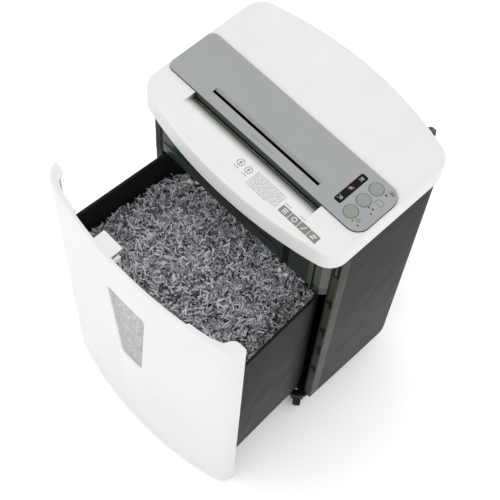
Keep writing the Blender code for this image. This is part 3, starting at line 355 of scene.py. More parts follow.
def prism(name, outline, low, high, axis="Z", material=None):
    """An outline pushed along an axis: (x, y) for Z, (y, z) for X and (x, z) for Y."""
    place = {
        "Z": lambda a, b, c: (a, b, c),
        "X": lambda a, b, c: (c, a, b),
        "Y": lambda a, b, c: (a, c, b),
    }[axis]
    return loft(name, [[place(a, b, c) for a, b in outline] for c in (low, high)], material)


def block(name, low, high, material=None):
    (x0, y0, z0), (x1, y1, z1) = low, high
    return prism(name, [(x0, y0), (x1, y0), (x1, y1), (x0, y1)], z0, z1, "Z", material)


def turned(name, profile, centre, axis="Z", steps=48, material=None):
    """A solid of revolution: profile is (distance along the axis, radius), from one end to the other."""
    turn = {
        "X": lambda s, u, v: (s, centre[0] + u, centre[1] + v),
        "Y": lambda s, u, v: (centre[0] + u, s, centre[1] + v),
        "Z": lambda s, u, v: (centre[0] + u, centre[1] + v, s),
    }[axis]
    rings = [
        [turn(s, r * math.cos(a), r * math.sin(a)) for a in (2 * math.pi * i / steps for i in range(steps))]
        for s, r in profile
    ]
    return loft(name, rings, material)


def settle(target):
    """Applies the modifiers."""
    graph = bpy.context.evaluated_depsgraph_get()
    mesh = bpy.data.meshes.new_from_object(target.evaluated_get(graph))
    target.modifiers.clear()
    target.data = mesh


def combine(target, tools, operation):
    for tool in tools:
        change = target.modifiers.new(tool.name, "BOOLEAN")
        change.operation, change.solver, change.object = operation, "EXACT", tool
    settle(target)
    for tool in tools:
        bpy.data.objects.remove(tool, do_unlink=True)
    return target


def cut(target, *tools):
    return combine(target, tools, "DIFFERENCE")


def join(target, *tools):
    return combine(target, tools, "UNION")


def soften(target, width, segments=2, angle=40.0):
    """Rounds the edges by a width in millimetres, and shades the curved faces smooth."""
    change = target.modifiers.new("rounded edges", "BEVEL")
    change.width = width * MM
    change.segments = segments
    change.limit_method = "ANGLE"
    change.angle_limit = math.radians(angle)
    change.use_clamp_overlap = True
    settle(target)
    return smooth(target, angle)


def smooth(target, angle=40.0):
    target.data.shade_smooth()
    target.data.set_sharp_from_angle(angle=math.radians(angle))
    return target


def merge(name, pieces):
    """One object from several, with their materials."""
    work = bmesh.new()
    mesh = bpy.data.meshes.new(name)
    for piece in pieces:
        offset = len(mesh.materials)
        for material in piece.data.materials:
            mesh.materials.append(material)
        first = len(work.faces)
        work.from_mesh(piece.data)
        work.faces.ensure_lookup_table()
        for face in work.faces[first:]:
            face.material_index += offset
        bpy.data.objects.remove(piece, do_unlink=True)
    work.to_mesh(mesh)
    work.free()
    return new_object(name, mesh, None)


def arc(cx, cy, radius, start, end, steps):
    return [
        (cx + radius * math.cos(math.radians(a)), cy + radius * math.sin(math.radians(a)))
        for a in (start + (end - start) * i / steps for i in range(steps + 1))
    ]


def rounded_rectangle(x0, y0, x1, y1, radius, steps=8):
    return (
        arc(x1 - radius, y1 - radius, radius, 0, 90, steps)
        + arc(x0 + radius, y1 - radius, radius, 90, 180, steps)
        + arc(x0 + radius, y0 + radius, radius, 180, 270, steps)
        + arc(x1 - radius, y0 + radius, radius, 270, 360, steps)
    )


def bowed_edge(sign, edge_y, bow, inset, corner_steps=10, steps=36):
    """A bowed side of the lid with its two corners. sign is -1 for the front and 1 for the back."""
    chord = HALF_W - CORNER_R
    bow_r = (chord * chord + bow * bow) / (2 * bow)
    lean = math.degrees(math.asin(chord / bow_r))
    corner_y = edge_y - sign * (bow + CORNER_R)
    middle_y = edge_y - sign * (CORNER_R + bow_r)
    radius = CORNER_R - inset
    first, last = (0, sign * (90 - lean)) if sign < 0 else (180, 90 + lean)
    near, far = (chord, -chord) if sign < 0 else (-chord, chord)
    points = arc(near, corner_y, radius, first, last, corner_steps)
    ends = (-90 + lean, -90 - lean) if sign < 0 else (90 + lean, 90 - lean)
    points += arc(0, middle_y, bow_r + radius, ends[0], ends[1], steps)[1:-1]
    last_arc = (-90 - lean, -180) if sign < 0 else (90 - lean, 0)
    return points + arc(far, corner_y, radius, last_arc[0], last_arc[1], corner_steps)


def panel_ring(inset, z):
    """The feed panel's plan. Its right corners are rounder than its left ones."""
    x0, y0 = PANEL_LOW.x + inset, PANEL_LOW.y + inset
    x1, y1 = PANEL_HIGH.x - inset, PANEL_HIGH.y - inset
    left, right = PANEL_LEFT_R - inset, PANEL_RIGHT_R - inset
    outline = (
        arc(x1 - right, y1 - right, right, 0, 90, 14)
        + arc(x0 + left, y1 - left, left, 90, 180, 12)
        + arc(x0 + left, y0 + left, left, 180, 270, 12)
        + arc(x1 - right, y0 + right, right, 270, 360, 14)
    )
    return [(x, y, z) for x, y in outline]


def front_edge(inset):
    return bowed_edge(-1, LID_LOW.y, FRONT_BOW, inset)


def lid_ring(inset, z):
    return [(x, y, z) for x, y in front_edge(inset) + bowed_edge(1, LID_HIGH.y, BACK_BOW, inset)]


def put(piece, body, *nodes, slot=None):
    """Rides the piece on its body, and hides the nodes of the frame that it stands for."""
    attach(piece, body)
    if nodes:
        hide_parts(*nodes)
    return piece


def refinish(material, *nodes, bevel=0.0):
    """A better finish, and rounded edges, on nodes whose shape is right."""
    for name in nodes:
        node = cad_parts[name]
        node.data.materials.clear()
        node.data.materials.append(material)
        if bevel:
            change = node.modifiers.new("rounded edges", "BEVEL")
            change.width = bevel * MM
            change.segments = 2
            change.limit_method = "ANGLE"
            change.angle_limit = math.radians(40)
            change.harden_normals = True


FINISHES = make_materials()


# ---------------------------------------------------------------- settings

class StudioSettings(bpy.types.PropertyGroup):
    """The floor, the lights and the camera."""

    floor: bpy.props.FloatVectorProperty(
        name="Floor", description="Colour of the studio floor", subtype="COLOR", size=4, min=0, max=1,
        default=linear("#FBFBFB"),
    )
    sky: bpy.props.FloatProperty(
        name="Fill light", description="Strength of the light from all round", default=1.19
    )
    lens: bpy.props.FloatProperty(
        name="Lens", description="Focal length of the camera, in millimetres", default=83.93
    )


class LeadSettings(bpy.types.PropertyGroup):
    """The mains lead."""

    diameter: bpy.props.FloatProperty(
        name="Diameter", description="Diameter of the mains lead", default=CORD_D * MM, unit="LENGTH"
    )


class ShredSettings(bpy.types.PropertyGroup):
    """The shredded paper."""

    count: bpy.props.IntProperty(
        name="Shreds", description="Number of loose shreds on the heap", default=9800
    )
    length: bpy.props.FloatProperty(
        name="Length", description="Length of one shred", default=14.0 * MM, unit="LENGTH"
    )
    width: bpy.props.FloatProperty(
        name="Width", description="Width of one shred", default=2.3 * MM, unit="LENGTH"
    )
    seed: bpy.props.IntProperty(name="Seed", description="Start of the random draws", default=11)


# ---------------------------------------------------------------- stage, camera, light

class SHREDDER_OT_stage(bpy.types.Operator):
    """Make the floor, the soft lights and the camera"""

    bl_idname = "shredder.stage"
    bl_label = "Stage"

    def execute(self, context):
        studio = context.scene.shredder_studio
        corners = [(x * FLOOR_REACH, y * FLOOR_REACH, 0) for x, y in ((-1, -1), (1, -1), (1, 1), (-1, 1))]
        floor = shell("floor", corners, [[0, 1, 2, 3]])
        paint, tree, shader = new_material(
            "matt white studio floor, glowing a little", Roughness=0.9,
            Emission_Color=(1.0, 1.0, 1.0, 1.0), Emission_Strength=0.12,
        )
        where = add(tree, "ShaderNodeTexCoord").outputs["Object"]
        fleck = add(tree, "ShaderNodeTexNoise", {"Vector": where, "Scale": 6.0, "Detail": 2.0})
        tree.links.new(blended(tree, fleck.outputs["Fac"], "#F9F9F9", "#FBFBFB"), shader.inputs["Base Color"])
        floor.data.materials.append(paint)

        world = bpy.data.worlds.new("soft white room")
        world.use_nodes = True
        world.node_tree.nodes["Background"].inputs["Color"].default_value = (1.0, 1.0, 1.0, 1.0)
        world.node_tree.nodes["Background"].inputs["Strength"].default_value = studio.sky
        context.scene.world = world

        for name, place, size, power in LIGHTS:
            lamp = bpy.data.lights.new(name, "AREA")
            lamp.size = size
            lamp.energy = power
            made = bpy.data.objects.new(name, lamp)
            made.location = place
            made.rotation_euler = (Vector(LIT_POINT) - Vector(place)).to_track_quat("-Z", "Y").to_euler()
            context.scene.collection.objects.link(made)

        angles = (CAMERA_AZIMUTH, CAMERA_ELEVATION, CAMERA_ROLL)
        azimuth, elevation, roll = (math.radians(angle) for angle in angles)
        back = Vector((
            math.sin(azimuth) * math.cos(elevation),
            -math.cos(azimuth) * math.cos(elevation),
            math.sin(elevation),
        ))
        right = Vector((math.cos(azimuth), math.sin(azimuth), 0.0))
        up = back.cross(right)
        across = right * math.cos(roll) + up * math.sin(roll)
        upward = up * math.cos(roll) - right * math.sin(roll)
        view = bpy.data.cameras.new("camera")
        view.lens = studio.lens
        view.sensor_width = 36.0
        view.shift_x, view.shift_y = CAMERA_SHIFT
        view.clip_start, view.clip_end = 0.05, 50.0
        camera = bpy.data.objects.new("camera", view)
        turn = Matrix((across, upward, back)).transposed().to_4x4()
        camera.matrix_world = Matrix.Translation(CAMERA_PLACE) @ turn
        context.scene.collection.objects.link(camera)
        context.scene.camera = camera
        context.scene.view_settings.view_transform = "Standard"
        return {"FINISHED"}


# ---------------------------------------------------------------- mains lead

def smooth_path(knots, per_span):
    """Catmull-Rom points through the knots, as the frame's lead has."""
    knots = [Vector(k) for k in knots]
    ends = [knots[0] * 2 - knots[1]] + knots + [knots[-1] * 2 - knots[-2]]
    points = []
    for i in range(len(knots) - 1):
        a, b, c, d = ends[i : i + 4]
        for step in range(per_span):
            t = step / per_span
            bend, twist = 2 * a - 5 * b + 4 * c - d, 3 * b - a - 3 * c + d
            points.append(0.5 * ((2 * b) + (c - a) * t + bend * t * t + twist * t**3))
    return points + [knots[-1]]


def lead_route():
    """Down from the boot, along the floor, round a flat coil in two layers, and out to the plug."""
    boot_low, boot_high = (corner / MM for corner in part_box("cord_boot"))
    coil_low, coil_high = (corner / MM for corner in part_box("cord_coil"))
    plug_low, plug_high = (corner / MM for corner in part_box("mains_plug"))
    x, z = (boot_low.x + boot_high.x) / 2, (boot_low.z + boot_high.z) / 2
    y = boot_high.y
    coil_x, coil_y = (coil_low.x + coil_high.x) / 2, (coil_low.y + coil_high.y) / 2
    reach = (coil_high.x - coil_low.x) / 2
    r = CORD_D / 2
    floor = r + 0.2
    lead = smooth_path(
        [
            (x, y + 0.4, z), (x, y + 16, z - 2), (x + 1, y + 30, z - 18), (x + 2, y + 36, z - 60),
            (x + 3, y + 36, 260), (x + 2, y + 40, 90), (x - 2, y + 50, 30), (x - 12, y + 66, floor + 2),
            (coil_x + reach + r + 3.5, coil_y - 16, floor),
        ],
        8,
    )
    points = lead[:-1]
    outer, inner = reach - r - 0.3, reach - r - CORD_D - 0.6
    entry = reach + r + 0.4
    steps = int(COIL_TURNS * 28)
    for i in range(steps + 1):
        t = COIL_TURNS * i / steps
        if t < 0.25:
            radius, high = entry + (outer - entry) * smoothstep(t / 0.25), floor
        elif t < 2.0:
            radius, high = outer + (inner - outer) * smoothstep((t - 1.0) / 0.25), floor
        elif t < 2.25:
            radius, high = inner, floor + CORD_D * smoothstep((t - 2.0) / 0.25)
        elif t < 4.0:
            radius, high = inner + (outer - inner) * smoothstep((t - 3.0) / 0.25), floor + CORD_D
        else:
            share = smoothstep((t - 4.0) / 0.25)
            radius, high = outer + (entry - outer) * share, floor + CORD_D * (1 - share)
        angle = 2 * math.pi * t
        points.append(Vector((coil_x + radius * math.cos(angle), coil_y + radius * math.sin(angle), high)))
    end_z = (plug_low.z + plug_high.z) / 2
    start = points[-1]
    tail = smooth_path(
        [start, start + Vector((-26, 0.5, 0)), start + Vector((-54, -7, 1)),
         start + Vector((-86, -24, end_z - start.z))],
        6,
    )
    return points + tail[1:]


def smoothstep(t):
    t = max(0.0, min(1.0, t))
    return t * t * (3 - 2 * t)


class SHREDDER_OT_mains_lead(bpy.types.Operator):
    """Make the mains lead, and finish its boot and plug"""

    bl_idname = "shredder.mains_lead"
    bl_label = "Mains lead"

    def execute(self, context):
        diameter = context.scene.shredder_lead.diameter
        route = [point * MM for point in lead_route()]
        curve = bpy.data.curves.new("mains_lead", "CURVE")
        curve.dimensions = "3D"
        line = curve.splines.new("POLY")
        line.points.add(len(route) - 1)
        for spot, point in zip(line.points, route):
            spot.co = (*point, 1.0)
        curve.bevel_depth = diameter / 2
        curve.bevel_resolution = 4
        curve.use_fill_caps = True
        curve.materials.append(FINISHES["cable"])
        lead = bpy.data.objects.new("mains_lead", curve)
        context.scene.collection.objects.link(lead)
        put(lead, "cabinet", "power_cord", "cord_coil", "cord_tail")
        refinish(FINISHES["cable"], "mains_plug", "cord_boot", bevel=0.6)
        return {"FINISHED"}


# ---------------------------------------------------------------- lid and controls

def recess_profile():
    """The scoop in front of the feed panel, in Y and Z: it starts level and falls to the panel's lip."""
    front = PANEL_LOW.y
    low = LID_TOP - RECESS_DEPTH
    start, foot = front - RECESS_REACH, front - 1.0
    curve = []
    for i in range(25):
        t = i / 24
        curve.append((start + (foot - start) * t, LID_TOP + 0.02 - (RECESS_DEPTH + 0.02) * t**1.9))
    return curve + [(front + 3.4, low), (front + 3.4, LID_TOP + 5), (start, LID_TOP + 5)]


class SHREDDER_OT_lid(bpy.types.Operator):
    """Make the bowed lid with its shoulder line and its hand recess"""

    bl_idname = "shredder.lid"
    bl_label = "Lid"

    def execute(self, context):
        top = LID_TOP
        edge = [(0.7, SKIRT_Z), (0.15, SKIRT_Z + 0.3), (0, SKIRT_Z + 1.0), (0, top - 7.0), (0.15, top - 5.2),
                (0.7, top - 3.4), (1.7, top - 2.0), (3.2, top - 1.15), (5.0, top - 0.8), (6.3, top - 0.75),
                (6.7, top - 0.72), (7.2, top - 0.2), (8.2, top - 0.06), (10.0, top)]
        rings = [lid_ring(WALL, top - SLAB), lid_ring(WALL, SKIRT_Z + 0.6), lid_ring(WALL - 0.5, SKIRT_Z)]
        rings += [lid_ring(inset, z) for inset, z in edge]
        lid = loft("lid_shell", rings, FINISHES["white"])
        front = PANEL_LOW.y
        behind = front + 3.4
        tub = prism(
            "tub",
            [(front - 18.5, top - 7), (front - 18.5, top - 11.5), (front - 4, top - 20),
             (behind + 3, top - 20), (behind + 3, top - 7)],
            RECESS_X0 - WALL,
            RECESS_X1 + WALL,
            "X",
        )
        join(lid, tub)
        scoop = prism("scoop", recess_profile(), RECESS_X0, RECESS_X1, "X")
        seat = loft("seat", [panel_ring(-0.5, PANEL_SEAT_Z), panel_ring(-0.5, top + 5)])
        slot = block(
            "slot",
            (SLOT_X - SLOT_LEN / 2 - 3, SLOT_Y - SLOT_W / 2 - 2, top - SLAB - 5),
            (SLOT_X + SLOT_LEN / 2 + 3, SLOT_Y + SLOT_W / 2 + 2, top + 5),
        )
        cut(lid, scoop, seat, slot)
        # The second material is the white with painted shade in the hand recess
        lid.data.materials.append(FINISHES["white_painted_recess_shade"])
        for face in lid.data.polygons:
            x, y, z = face.center / MM
            in_plan = RECESS_X0 - 1 < x < RECESS_X1 + 1 and front - RECESS_REACH < y < front
            if in_plan and top - 25 < z < top - 0.01 and face.normal.z > -0.1:
                face.material_index = 1
        smooth(lid, 28)
        put(lid, "cabinet", "top_lid")
        put(lid_marks(), "cabinet")
        return {"FINISHED"}


def lid_marks():
    """Plain stand-ins for the printed marks: two round symbols, a notice and four boxes."""
    top = LID_TOP
    base, face = top - 0.05, top + 0.12
    pieces = []

    def bar(x0, y0, x1, y1, material=FINISHES["pale_symbol"]):
        pieces.append(block("bar", (x0, PANEL_MID_Y + y0, base), (x1, PANEL_MID_Y + y1, face), material))

    def ring(x, y, outer, inner, material=FINISHES["pale_symbol"]):
        circle = turned("ring", [(base, outer), (face, outer)], (x, PANEL_MID_Y + y), "Z", 28, material)
        hole = turned("hole", [(base - 1, inner), (face + 1, inner)], (x, PANEL_MID_Y + y), "Z", 28)
        pieces.append(cut(circle, hole))

    for x, y in ((-0.4, -84.0), (16.7, -85.0)):
        ring(x, y, 6.2, 5.2)
        bar(x - 0.6, y - 4.0, x + 0.6, y + 4.0)
        bar(x - 2.6, y - 0.6, x + 2.6, y + 0.6)
        bar(x - 5.0, y - 10.4, x + 5.0, y - 9.5)
    draw = random.Random(3)
    for row in range(9):
        y = -77.0 - row * 3.2
        x = 28.0
        while x < (86.0 if row < 8 else 62.0):
            long = min(draw.uniform(3.0, 11.0), 87.0 - x)
            bar(x, y - 0.4, x + long, y + 0.4)
            x += long + draw.uniform(0.8, 1.5)
    bar(92.0, -84.3, 104.0, -83.4)
    bar(121.0, -84.0, 132.0, -83.1)
    for index in range(4):
        x = STRIP_X + index * STRIP_PITCH
        bar(x, -100.5, x + STRIP_PITCH - 1.0, -87.5, FINISHES["grey_mark"])
    marks = merge("lid_marks", pieces)
    details = []
    low, high = top + 0.1, top + 0.2

    def inlay(x0, y0, x1, y1):
        details.append(block("bar", (x0, y0, low), (x1, y1, high), FINISHES["white"]))

    for index, shape in enumerate(("bars", "ring", "slash", "stack")):
        x, y = STRIP_X + index * STRIP_PITCH + 8.8, PANEL_MID_Y - 94.0
        if shape == "ring":
            circle = turned("ring", [(low, 4.3), (high, 4.3)], (x, y), "Z", 24, FINISHES["white"])
            details.append(cut(circle, turned("hole", [(low - 1, 2.9), (high + 1, 2.9)], (x, y), "Z", 24)))
        elif shape == "bars":
            for step in (-1, 0, 1):
                inlay(x - 4, y + step * 3 - 0.7, x + 4, y + step * 3 + 0.7)
        elif shape == "slash":
            slash = [(x - 4, y - 4), (x - 2.2, y - 4), (x + 4, y + 4), (x + 2.2, y + 4)]
            details.append(prism("bar", slash, low, high, "Z", FINISHES["white"]))
        else:
            for step in (-1, 1):
                inlay(x - 3.6 + step, y + step * 2 - 1.1, x + 3.6 + step, y + step * 2 + 1.1)
    return merge("lid_marks", [marks] + details)


class SHREDDER_OT_feed_panel(bpy.types.Operator):
    """Make the feed panel, its slot, the buttons, the display and their symbols"""

    bl_idname = "shredder.feed_panel"
    bl_label = "Feed panel"

    def execute(self, context):
        low, top = PLATE_LOW, PANEL_TOP
        y0 = PANEL_LOW.y
        plate = loft(
            "panel_plate",
            [panel_ring(0, low), panel_ring(0, top - 1.0), panel_ring(0.12, top - 0.5),
             panel_ring(0.4, top - 0.15), panel_ring(0.9, top)],
            FINISHES["panel"],
        )
        foot = LID_TOP - RECESS_DEPTH + 3
        lip_low, lip_high = (RECESS_X0 + 1, y0 + 0.15, foot), (RECESS_X1 - 1, y0 + 3, low + 2)
        lip = block("lip", lip_low, lip_high, FINISHES["lip"])
        # A black block at the lip's foot is a painted shadow in the crease between the panel's lip and the
        # recess
        shade = block(
            "lip_foot_painted_shadow", (RECESS_X0 + 0.5, y0 - 0.6, foot - 2.9), (RECESS_X1 - 0.5, y0 + 3, foot + 1.5),
            FINISHES["black"],
        )
        put(shade, "cabinet")
        join(plate, lip)
        slot_y0, slot_y1 = SLOT_Y - SLOT_W / 2, SLOT_Y + SLOT_W / 2
        sx0, sx1 = SLOT_X - SLOT_LEN / 2, SLOT_X + SLOT_LEN / 2
        tools = [prism(
            "throat",
            [(slot_y0, low - 2), (slot_y1, low - 2), (slot_y1, top - 2.2), (slot_y1 + 5.6, top + 0.02),
             (slot_y1 + 5.6, top + 4), (slot_y0, top + 4)],
            sx0,
            sx1,
            "X",
        )]
        hole = [(low - 2, BUTTON_R + 0.5), (top - 0.5, BUTTON_R + 0.5), (top, BUTTON_R + 1.0),
                (top + 4, BUTTON_R + 5.0)]
        for index, y in enumerate(BUTTON_YS):
            tools.append(turned(f"hole_{index}", hole, (BUTTON_X, y)))
        half_w, half_l = DISPLAY_W / 2 + 0.4, DISPLAY_L / 2 + 0.4
        tools.append(prism(
            "pocket",
            rounded_rectangle(
                DISPLAY_X - half_w, DISPLAY_Y - half_l, DISPLAY_X + half_w, DISPLAY_Y + half_l, 2.9
            ),
            top - 1.8,
            top + 4,
        ))
        cut(plate, *tools)
        plate.data.materials.clear()
        for word in ("panel", "lip", "black", "ramp"):
            plate.data.materials.append(FINISHES[word])
        # Faces in the slot below the top, except the ramp, are black as painted shade in the throat. Other
        # upright faces take the dark olive edge colour, which in the button holes is also painted shade in
        # the gaps
        for face in plate.data.polygons:
            x, y, z = face.center / MM
            in_slot = sx0 - 1 < x < sx1 + 1 and slot_y0 - 0.5 < y < slot_y1 + 9
            if in_slot and z < top - 0.2:
                face.material_index = 3 if face.normal.z > 0.2 else 2
            elif face.normal.z < 0.45:
                face.material_index = 1
            else:
                face.material_index = 0
        smooth(plate, 30)
        put(plate, "cabinet", "feed_panel")
        # A black block at the bottom of the slot is painted shade in the throat
        throat = block(
            "throat_painted_shade", (sx0, slot_y0 + 0.1, low - 1.5), (sx1, slot_y1 - 0.1, low - 0.5),
            FINISHES["black"],
        )
        put(throat, "cabinet")

        glass = []
        for inset, z in ((0, top - 1.4), (0, top + 0.05), (0.35, top + 0.3)):
            outline = rounded_rectangle(
                DISPLAY_X - DISPLAY_W / 2 + inset, DISPLAY_Y - DISPLAY_L / 2 + inset,
                DISPLAY_X + DISPLAY_W / 2 - inset, DISPLAY_Y + DISPLAY_L / 2 - inset, 2.4 - inset,
            )
            glass.append([(x, y, z) for x, y in outline])
        display = smooth(loft("display_cover", glass, FINISHES["display"]), 30)
        put(display, "cabinet", "display_window")

        for word, y in zip(("front", "middle", "back"), BUTTON_YS):
            face = top + 0.6
            profile = [(face - 5.8, BUTTON_R), (face - 1.2, BUTTON_R), (face - 0.45, BUTTON_R - 0.2),
                       (face - 0.1, BUTTON_R - 0.7), (face, BUTTON_R - 1.4), (face - 0.12, BUTTON_R - 4),
                       (face - 0.25, BUTTON_R - 7.5), (face - 0.28, 0.3)]
            cap = smooth(turned(f"{word}_keycap", profile, (BUTTON_X, y), "Z", 56, FINISHES["button"]), 35)
            put(cap, f"{word}_button", f"{word}_button")
        put(panel_symbols(), "cabinet")
        return {"FINISHED"}


def panel_symbols():
    """Small plain symbols: three on the display and one or two beside each button."""
    top = PANEL_TOP
    base, face = top - 0.05, top + 0.1
    pieces = []

    def disc(x, y, r, finish="symbol", low=base, high=face):
        pieces.append(turned("disc", [(low, r), (high, r)], (x, y), "Z", 20, FINISHES[finish]))

    def bar(x0, y0, x1, y1, finish="symbol", low=base, high=face):
        pieces.append(block("bar", (x0, y0, low), (x1, y1, high), FINISHES[finish]))

    def ring(x, y, outer, inner, finish="symbol", low=base, high=face):
        circle = turned("ring", [(low, outer), (high, outer)], (x, y), "Z", 24, FINISHES[finish])
        pieces.append(cut(circle, turned("hole", [(low - 1, inner), (high + 1, inner)], (x, y), "Z", 24)))

    def triangle(x, y, size, finish="symbol"):
        corners = [(x - size, y - size), (x + size, y), (x - size, y + size)]
        pieces.append(prism("arrow", corners, base, face, "Z", FINISHES[finish]))

    glass = top + 0.28
    y = DISPLAY_Y - 22.5
    disc(DISPLAY_X + 0.8, y + 0.5, 2.9, "lamp", glass, glass + 0.1)
    disc(DISPLAY_X - 3.6, y + 2.6, 1.1, "lamp", glass, glass + 0.1)
    disc(DISPLAY_X - 3.2, y - 2.8, 1.1, "lamp", glass, glass + 0.1)
    y = DISPLAY_Y
    disc(DISPLAY_X - 0.4, y, 2.6, "lamp", glass, glass + 0.1)
    bar(DISPLAY_X - 3.6, y - 3.6, DISPLAY_X - 1.6, y - 1.6, "lamp", glass, glass + 0.1)
    bar(DISPLAY_X + 1.4, y + 1.8, DISPLAY_X + 3.4, y + 3.8, "lamp", glass, glass + 0.1)
    y = DISPLAY_Y + 22.0
    bar(DISPLAY_X - 3.4, y - 3.2, DISPLAY_X + 3.4, y - 2.0, "lamp", glass, glass + 0.1)
    bar(DISPLAY_X - 2.6, y - 0.8, DISPLAY_X + 2.8, y + 3.6, "lamp", glass, glass + 0.1)

    front_y, middle_y, back_y = BUTTON_YS
    x = BUTTON_X
    triangle(x + 17.5, back_y + 2.5, 2.4)
    bar(x + 17.0, back_y + 8.5, x + 25.5, back_y + 10.2)
    bar(x + 16.5, back_y + 12.0, x + 25.0, back_y + 13.2)
    bar(x + 13.5, middle_y + 8.5, x + 25.0, middle_y + 9.7, "pale_symbol")
    bar(x + 13.5, middle_y + 17.0, x + 25.0, middle_y + 18.2, "pale_symbol")
    bar(x + 12.5, middle_y + 9.5, x + 13.7, middle_y + 17.2, "pale_symbol")
    bar(x + 24.8, middle_y + 9.5, x + 26.0, middle_y + 17.2, "pale_symbol")
    disc(x + 13.5, middle_y - 3.5, 1.5)
    triangle(x + 20.0, middle_y - 1.5, 2.2)
    disc(x + 22.5, middle_y - 9.0, 1.5)
    ring(x + 17.5, front_y - 3.0, 3.0, 2.2)
    disc(x + 12.0, front_y - 9.5, 1.3)
    disc(x + 22.5, front_y - 9.5, 1.5)
    draw = random.Random(9)
    x = -26.0
    while x < 19.0:
        long = draw.uniform(1.6, 3.6)
        bar(x, 25.0, x + long, 26.1, "pale_symbol")
        x += long + 1.2
    return merge("panel_symbols", pieces)


# ---------------------------------------------------------------- cabinet

def side_outline(hand):
    arc_x, arc_y = SIDE_HIGH.x - SIDE_CORNER_R, SIDE_HIGH.y - SIDE_CORNER_R
    front = SIDE_LOW.y
    outer = [(SIDE_HIGH.x - FLANGE_W, front)] + arc(SIDE_HIGH.x - 2.5, front + 2.5, 2.5, -90, 0, 4)
    outer.append((SIDE_HIGH.x, front + 20.0))
    outer += arc(arc_x, arc_y, SIDE_CORNER_R, 0, 90, 24)
    inner = arc(arc_x, arc_y, SIDE_CORNER_R - WALL, 90, 0, 24)
    inner += [(SIDE_HIGH.x - WALL, front + WALL), (SIDE_HIGH.x - FLANGE_W, front + WALL)]
    return [(hand * x, y) for x, y in outer + inner]


class SHREDDER_OT_cabinet(bpy.types.Operator):
    """Make the side panels and finish the back, the tray, the runners and the inside strips"""

    bl_idname = "shredder.cabinet"
    bl_label = "Cabinet"

    def execute(self, context):
        for hand, word in ((-1, "left"), (1, "right")):
            outline = side_outline(hand)
            panel = prism(f"{word}_side_shell", outline, SIDE_LOW.z, SIDE_HIGH.z, "Z", FINISHES["side"])
            soften(panel, 0.7, 2, 50)
            panel.data.materials.append(FINISHES["side_band"])
            for face in panel.data.polygons:
                if face.center.y < (SIDE_LOW.y + 19.5) * MM and abs(face.center.x) > (SIDE_HIGH.x - 2.6) * MM:
                    face.material_index = 1
            put(panel, "cabinet", f"{word}_side_panel")
            front = SIDE_LOW.y
            # The black backing and the black blocks on each notch are painted shade in the strip's notches
            pieces = [
                block("notch_shade_backing", (hand * 191.5, front - 0.2, 72.0), (hand * 203.2, front + 0.1, 598.0),
                      FINISHES["black"]),
                block("strip", (hand * 192.0, front - 0.6, 76.0), (hand * 203.0, front - 0.1, 560.0),
                      FINISHES["strip" if hand > 0 else "black"]),
            ]
            for z in NOTCH_HEIGHTS:
                for x0, x1, z0, z1 in ((197.0, 203.1, z - 15, z + 15), (191.9, 198.0, z - 4, z + 8)):
                    notch = (hand * x0, front - 0.9, z0), (hand * x1, front - 0.5, z1)
                    pieces.append(block("notch", *notch, FINISHES["black"]))
            put(merge(f"{word}_edge_strip", pieces), "cabinet")
        refinish(FINISHES["side"], "back_panel", bevel=0.6)
        refinish(FINISHES["black"], "base_tray", bevel=0.8)
        for word in ("left", "right"):
            refinish(FINISHES["steel"], f"{word}_runner", f"{word}_tray_screw", bevel=0.4)
        refinish(FINISHES["black"], "switch_bezel", "power_rocker", bevel=0.4)
        put(back_vents(), "cabinet")
        return {"FINISHED"}


def back_vents():
    """Two banks of louvres behind the motor."""
    pieces = []
    for row in range(LOUVRES):
        z = LOUVRE_LOW + row * LOUVRE_PITCH
        for x0, x1 in ((-70.0, -6.0), (6.0, 70.0)):
            inner, outer = BACK_Y - 0.1, BACK_Y + 1.8
            section = [(inner, z), (outer, z + 0.6), (outer, z + 1.6), (inner, z + 5.0)]
            pieces.append(prism("louvre", section, x0, x1, "X", FINISHES["side"]))
    return merge("back_louvres", pieces)


class SHREDDER_OT_head(bpy.types.Operator):
    """Finish the head's housing, its ribs, the cutters, the gears and the motor"""

    bl_idname = "shredder.head"
    bl_label = "Cutting head"

    def execute(self, context):
        refinish(FINISHES["fascia"], "head_housing", bevel=1.0)
        refinish(FINISHES["black"], "door_switch", bevel=0.4)
        front = HEAD_LOW.y
        rib, black = FINISHES["rib"], FINISHES["black"]
        wide = [(165.0, front - 1.9), (177.5, front - 1.9), (187.0, front + 7.6), (186.0, front + 9.0),
                (176.0, front + 1.0), (165.0, front + 1.0)]
        side_y = SIDE_LOW.y
        pieces = [
            soften(block("rib", (152.0, front - 1.9, 492.0), (160.5, front + 0.5, 612.0), rib), 0.8),
            smooth(prism("wide_rib", wide, 505.0, 612.0, "Z", rib)),
            # Black blocks in the gap beside the rib and in the recess are painted shade
            block("gap_painted_shade", (160.5, front - 0.4, 484.0), (165.0, front + 0.3, 612.0), black),
            block("recess_painted_shade", (97.0, front - 0.4, 484.0), (110.0, front + 0.3, 606.0), black),
            soften(
                block("band", (-176.0, front - 1.6, HEAD_LOW.z + 0.5), (92.0, front + 0.5, HEAD_LOW.z + 26.0),
                      FINISHES["fascia"]),
                0.8,
            ),
            block("edge_line", (195.0, side_y - 0.8, 566.0), (198.5, side_y + 0.1, 608.0), rib),
        ]
        put(merge("fascia_ribs", pieces), "cabinet")
        refinish(FINISHES["steel"], "left_bearing_plate", "gear_plate")
        for place in ("front", "rear"):
            refinish(FINISHES["steel"], f"{place}_feed_guide", f"{place}_tie_rod", f"{place}_stripper")
        refinish(FINISHES["cutter"], "front_cutter", "rear_cutter")
        refinish(FINISHES["gear"], "front_cutter_gear", "rear_cutter_gear", "idler_gear", "motor_pinion")
        refinish(FINISHES["motor"], "motor", bevel=0.6)
        refinish(FINISHES["board"], "circuit_board")
        return {"FINISHED"}


